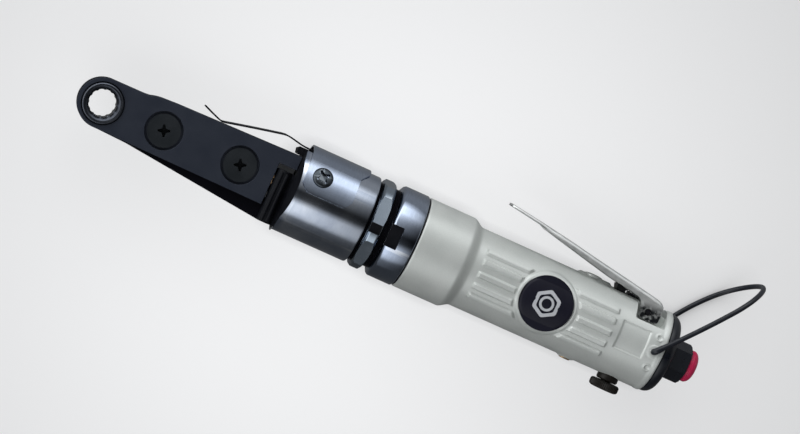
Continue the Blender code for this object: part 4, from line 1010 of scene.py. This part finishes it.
def make_inlet():
    seat, back = 119.4, 128.2
    hexagon = prism(arc((0, 0), 9.0, -7.5, 292.5, 5), seat, back, "X")
    corners = [(seat - 1, 0), (seat - 1, 8.3), (seat, 8.3), (seat + 0.8, 9.1), (back - 0.8, 9.1)]
    corners += [(back, 8.2), (back + 1, 8.2), (back + 1, 0)]
    hexagon = carve(hexagon, lathe(corners), "INTERSECT")
    hexagon = carve(hexagon, rod((0, 0), 7.0, 101, seat + 1, "X", 64), "UNION")
    hexagon = carve(hexagon, rod((0, 0), 5.6, 100, back + 2, "X", 64))
    replace("inlet_bushing", hexagon, "cap", "black_steel", edge=0.3, sharp=20)
    profile = [(121.0, 0), (121.0, 4.6), (122.0, 5.1), (128.5, 5.1), (128.5, 6.8), (128.8, 7.1)]
    for x in (129.3, 130.0):
        profile += [(x, 7.1), (x + 0.15, 6.9), (x + 0.3, 7.1)]
    profile += [(130.8, 6.9), (131.5, 6.4), (132.1, 5.6), (132.5, 4.7), (132.6, 4.0)]
    profile += [(131.8, 3.6), (131.8, 0)]
    replace("inlet_plug", lathe(profile, 96), "red", "red_plastic", body="plug", sharp=30)


def make_bail():
    """The wire loop, a little bent from use, with thicker ends hooked into the handle."""
    side, hook, length = 19.3, 1.6, 57.2
    upper_sway, lower_sway = -0.8, 3.2
    straight = length - side
    half = [(0.0, 16.2), (0.0, 16.9)] + arc((hook, side - hook), hook, 180, 90, 6)
    half += [(hook + 2.0 + (straight - hook - 2.0) * step / 12, side) for step in range(12)]
    half += arc((straight, 0), side, 90, 0, 20)
    loop = half + [(along, -across) for along, across in reversed(half[:-1])]
    angle = radians(51)
    out = Vector((cos(angle), sin(angle), 0))
    aside = Vector((-sin(angle), cos(angle), 0))
    curve = bpy.data.curves.new("hanging_bail_detail", "CURVE")
    curve.dimensions = "3D"
    curve.bevel_depth = 1.0 * MM
    curve.bevel_resolution = 6
    curve.use_fill_caps = True
    spline = curve.splines.new("POLY")
    spline.points.add(len(loop) - 1)
    for slot, (along, across) in zip(spline.points, loop):
        sway = (upper_sway if across > 0 else lower_sway) * sin(pi * along / length)
        point = Vector((BAIL_X, 0, across)) + along * out + sway * aside
        slot.co = (*(ORIGIN + point * MM), 1)
        slot.radius = 1.12 + 0.3 * (1 - soft_step((along - 2.5) / 3.0))
    curve.materials.append(LOOKS["wire"])
    bail = new_object("hanging_bail_detail", curve)
    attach(bail, "bail")
    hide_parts("hanging_bail")


# The nodes that stay, by finish
KEPT = {
    "ground": ["front_post", "rear_post", "holding_pawl_pin", "crank_bearing", "ring_gear",
               "motor_cylinder", "front_bearing", "rear_bearing", "rocker", "drive_pawl_pin",
               "drive_pawl", "holding_pawl", "crankshaft", "planet_gear_1", "planet_gear_2",
               "planet_gear_3", "rotor"],
    # The lever pin is near black: painted shade for the hole in the lever's ear where it shows.
    "thread": ["lever_pin"],
    "zinc": ["holding_pawl_spring", "drive_pawl_spring", "valve_spring"],
    "aluminium": ["front_end_plate", "rear_end_plate"],
    "brass": ["crank_bushing", "valve_bush", "throttle_valve", "inlet_screen"],
    "phenolic": [f"rotor_vane_{number}" for number in range(1, 6)],
    "paper": ["rear_gasket"],
    "felt": ["exhaust_muffler"],
}


def dress_kept_nodes(nodes):
    for look, names in KEPT.items():
        for name in names:
            data = nodes[name].data
            data.materials.clear()
            data.materials.append(LOOKS[look])


# Stage, with its lengths in metres

BACKGROUND_MIDDLE = (-0.02, -0.025, 0)  # middle of the pool of light painted on the paper
PAPER_GLOW = (0.765, 0.455)  # brightness of the painted pool of light there, and PAPER_FADE away from it
PAPER_FADE = 0.24
DULL_GLOW = (0.06, 0.32)  # painted light: the paper's glow that lights the tool, from the far side to the lever's side
CONTACT_SHADOW = 0.012  # how far the shadow painted under the tool reaches over the paper
FLOOR_GAP = 0.0002  # between the floor and the tool's lowest point
FLOOR_HALF = 3.0
# Colour of the light painted on the paper; PAPER_GREY is the paper's own colour.
PAINTED_LIGHT_WHITE = (0.985, 0.99, 1)
PAPER_GREY = (0.32, 0.32, 0.32)
COOL_WHITE = (0.97, 0.985, 1)
BACKDROP = (0.80, 0.81, 0.82)
LAMP_PLACE = (-1.5, 0.2, 1.1)
LAMP_SIZE = 1.2
LAMP_POWER = 6
ROOM_BRIGHTNESS = 2.5
# Brightness of the studio room round the tool's axis: (degrees from overhead towards the lever's
# side, share of the brightest). A dark ceiling lies between two long soft boxes.
ROOM = [(-100, 0.05), (-82, 0.07), (-70, 0.11), (-60, 0.46), (-50, 0.60), (-30, 0.60),
        (-22, 0.26), (-15, 0.03), (2, 0.01), (8, 0.04), (18, 0.11), (28, 0.18), (39, 0.30),
        (50, 0.60), (58, 1.0), (74, 1.0), (82, 0.55), (92, 0.2)]


def cleared_tree(owner):
    owner.use_nodes = True
    owner.node_tree.nodes.clear()
    return owner.node_tree


def plain_shader(tree, kind, colour, **inputs):
    return new_node(tree, kind, {"Color": (*colour, 1), **inputs}).outputs[0]


def show(tree, output, to_tool, to_camera):
    """Ends a tree: rays from the camera meet one shader, and all other rays meet the other."""
    ray = new_node(tree, "ShaderNodeLightPath").outputs["Is Camera Ray"]
    either = new_node(tree, "ShaderNodeMixShader", {0: ray, 1: to_tool, 2: to_camera})
    new_node(tree, output, {"Surface": either.outputs[0]})


def make_paper():
    """Paper with light and shade painted on it: to the camera it glows pale, a little darker away
    from the tool, with a painted shadow close under it. To the tool itself it glows a duller grey.
    """
    paper = bpy.data.materials.new("studio_paper")
    tree = cleared_tree(paper)
    place = new_node(tree, "ShaderNodeTexCoord").outputs["Object"]
    inputs = {0: place, 1: BACKGROUND_MIDDLE}
    away = new_node(tree, "ShaderNodeVectorMath", inputs, operation="DISTANCE").outputs["Value"]
    # Painted pool of light: the paper's glow fades away from BACKGROUND_MIDDLE.
    painted_pool_of_light = mapped(tree, away, *PAPER_GLOW, 0.0, PAPER_FADE)
    # Painted shadow: the paper's glow is dimmed where the tool is close over it.
    painted_contact_shadow = new_node(tree, "ShaderNodeAmbientOcclusion", {"Distance": CONTACT_SHADOW}, samples=8)
    glow = product(tree, painted_pool_of_light, mapped(tree, painted_contact_shadow.outputs["AO"], 0.35, 1, 0.2, 1))
    glow = plain_shader(tree, "ShaderNodeEmission", PAINTED_LIGHT_WHITE, Strength=glow)
    faint = plain_shader(tree, "ShaderNodeBsdfDiffuse", PAPER_GREY)
    seen = new_node(tree, "ShaderNodeAddShader", {0: glow, 1: faint}).outputs[0]
    # Painted light for the tool: the paper glows brighter towards the lever's side.
    painted_glow_for_tool = mapped(tree, coordinates(tree, place)["Y"], *DULL_GLOW, -0.05, 0.08)
    painted_glow_for_tool = plain_shader(tree, "ShaderNodeEmission", COOL_WHITE, Strength=painted_glow_for_tool)
    show(tree, "ShaderNodeOutputMaterial", painted_glow_for_tool, seen)
    return paper


def make_floor(low_z):
    mesh = bmesh.new()
    bmesh.ops.create_grid(mesh, x_segments=1, y_segments=1, size=FLOOR_HALF)
    floor = new_object("studio_floor", mesh_data(mesh, "studio_floor"))
    floor.location.z = low_z - FLOOR_GAP
    floor.data.materials.append(make_paper())


def make_room():
    """The studio round the tool: its brightness follows ROOM, and it is dimmer past the inlet."""
    world = bpy.data.worlds.new("studio_room")
    bpy.context.scene.world = world
    tree = cleared_tree(world)
    across = coordinates(tree, new_node(tree, "ShaderNodeTexCoord").outputs["Generated"])
    inputs = {0: across["Y"], 1: across["Z"]}
    around = new_node(tree, "ShaderNodeMath", inputs, operation="ARCTAN2").outputs[0]
    first, last = ROOM[0][0], ROOM[-1][0]
    along = mapped(tree, around, 0, 1, radians(first), radians(last))
    ramp = new_node(tree, "ShaderNodeValToRGB", {"Fac": along})
    stops = ramp.color_ramp.elements
    for angle, share in ROOM[1:-1]:
        stops.new((angle - first) / (last - first))
    for stop, (angle, share) in zip(stops, ROOM):
        stop.position = (angle - first) / (last - first)
        stop.color = (share, share, share, 1)
    past_inlet = mapped(tree, across["X"], 1.1, 0.15, -0.1, 0.6)
    strength = product(tree, product(tree, ramp.outputs["Color"], past_inlet), ROOM_BRIGHTNESS)
    lighting = plain_shader(tree, "ShaderNodeBackground", COOL_WHITE, Strength=strength)
    backdrop = plain_shader(tree, "ShaderNodeBackground", BACKDROP)
    show(tree, "ShaderNodeOutputWorld", lighting, backdrop)


def make_lamp():
    """A square softbox beyond the head, which points at the tool."""
    light = bpy.data.lights.new("head_end_box", "AREA")
    light.size = LAMP_SIZE
    light.energy = LAMP_POWER
    lamp = new_object("head_end_box", light)
    lamp.location = LAMP_PLACE
    lamp.rotation_euler = (-Vector(LAMP_PLACE)).to_track_quat("-Z", "Y").to_euler()


def make_camera():
    around, over, roll = (radians(angle) for angle in CAMERA_TURN)
    turn = Matrix.Rotation(around, 3, "Y") @ Matrix.Rotation(over, 3, "X")
    turn = turn @ Matrix.Rotation(roll, 3, "Z")
    away = turn @ Vector((*CAMERA_ASIDE, CAMERA_DISTANCE))
    data = bpy.data.cameras.new("photo_camera")
    data.lens = CAMERA_LENS
    data.sensor_width = 36
    data.clip_end = 20
    camera = new_object("photo_camera", data)
    camera.matrix_world = Matrix.Translation(ORIGIN + away - CAMERA_ZERO) @ turn.to_4x4()
    bpy.context.scene.camera = camera


def make_pieces():
    for make in (make_plates, make_head_frame, make_ratchet_ring, make_bracket, make_leaf_spring,
                 make_housing, make_saddle_cover):
        make()
    for level, side in LEVELS:
        make_saddle_screw(level, side)
    for make in (make_locknut, make_clamp_ring, make_casting, make_handle_plugs, make_badge,
                 make_lever, make_button, make_regulator, make_end_cap, make_inlet, make_bail):
        make()


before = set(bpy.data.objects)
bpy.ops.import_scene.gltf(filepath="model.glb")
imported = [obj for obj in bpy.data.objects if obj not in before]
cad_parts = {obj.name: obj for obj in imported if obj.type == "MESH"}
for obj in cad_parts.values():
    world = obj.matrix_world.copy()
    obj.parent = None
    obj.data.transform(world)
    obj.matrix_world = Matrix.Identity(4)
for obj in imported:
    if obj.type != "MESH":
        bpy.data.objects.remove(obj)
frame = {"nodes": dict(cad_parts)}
cad_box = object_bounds()
screen_low, screen_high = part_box("inlet_screen")
ORIGIN = (screen_low + screen_high) / 2
ORIGIN.x = screen_low.x - SCREEN_FRONT_X * MM

LOOKS = make_finishes()
make_pieces()
dress_kept_nodes(frame["nodes"])
make_floor(cad_box[0].z)
make_room()
make_lamp()
make_camera()
bpy.context.scene.view_settings.view_transform = "Standard"
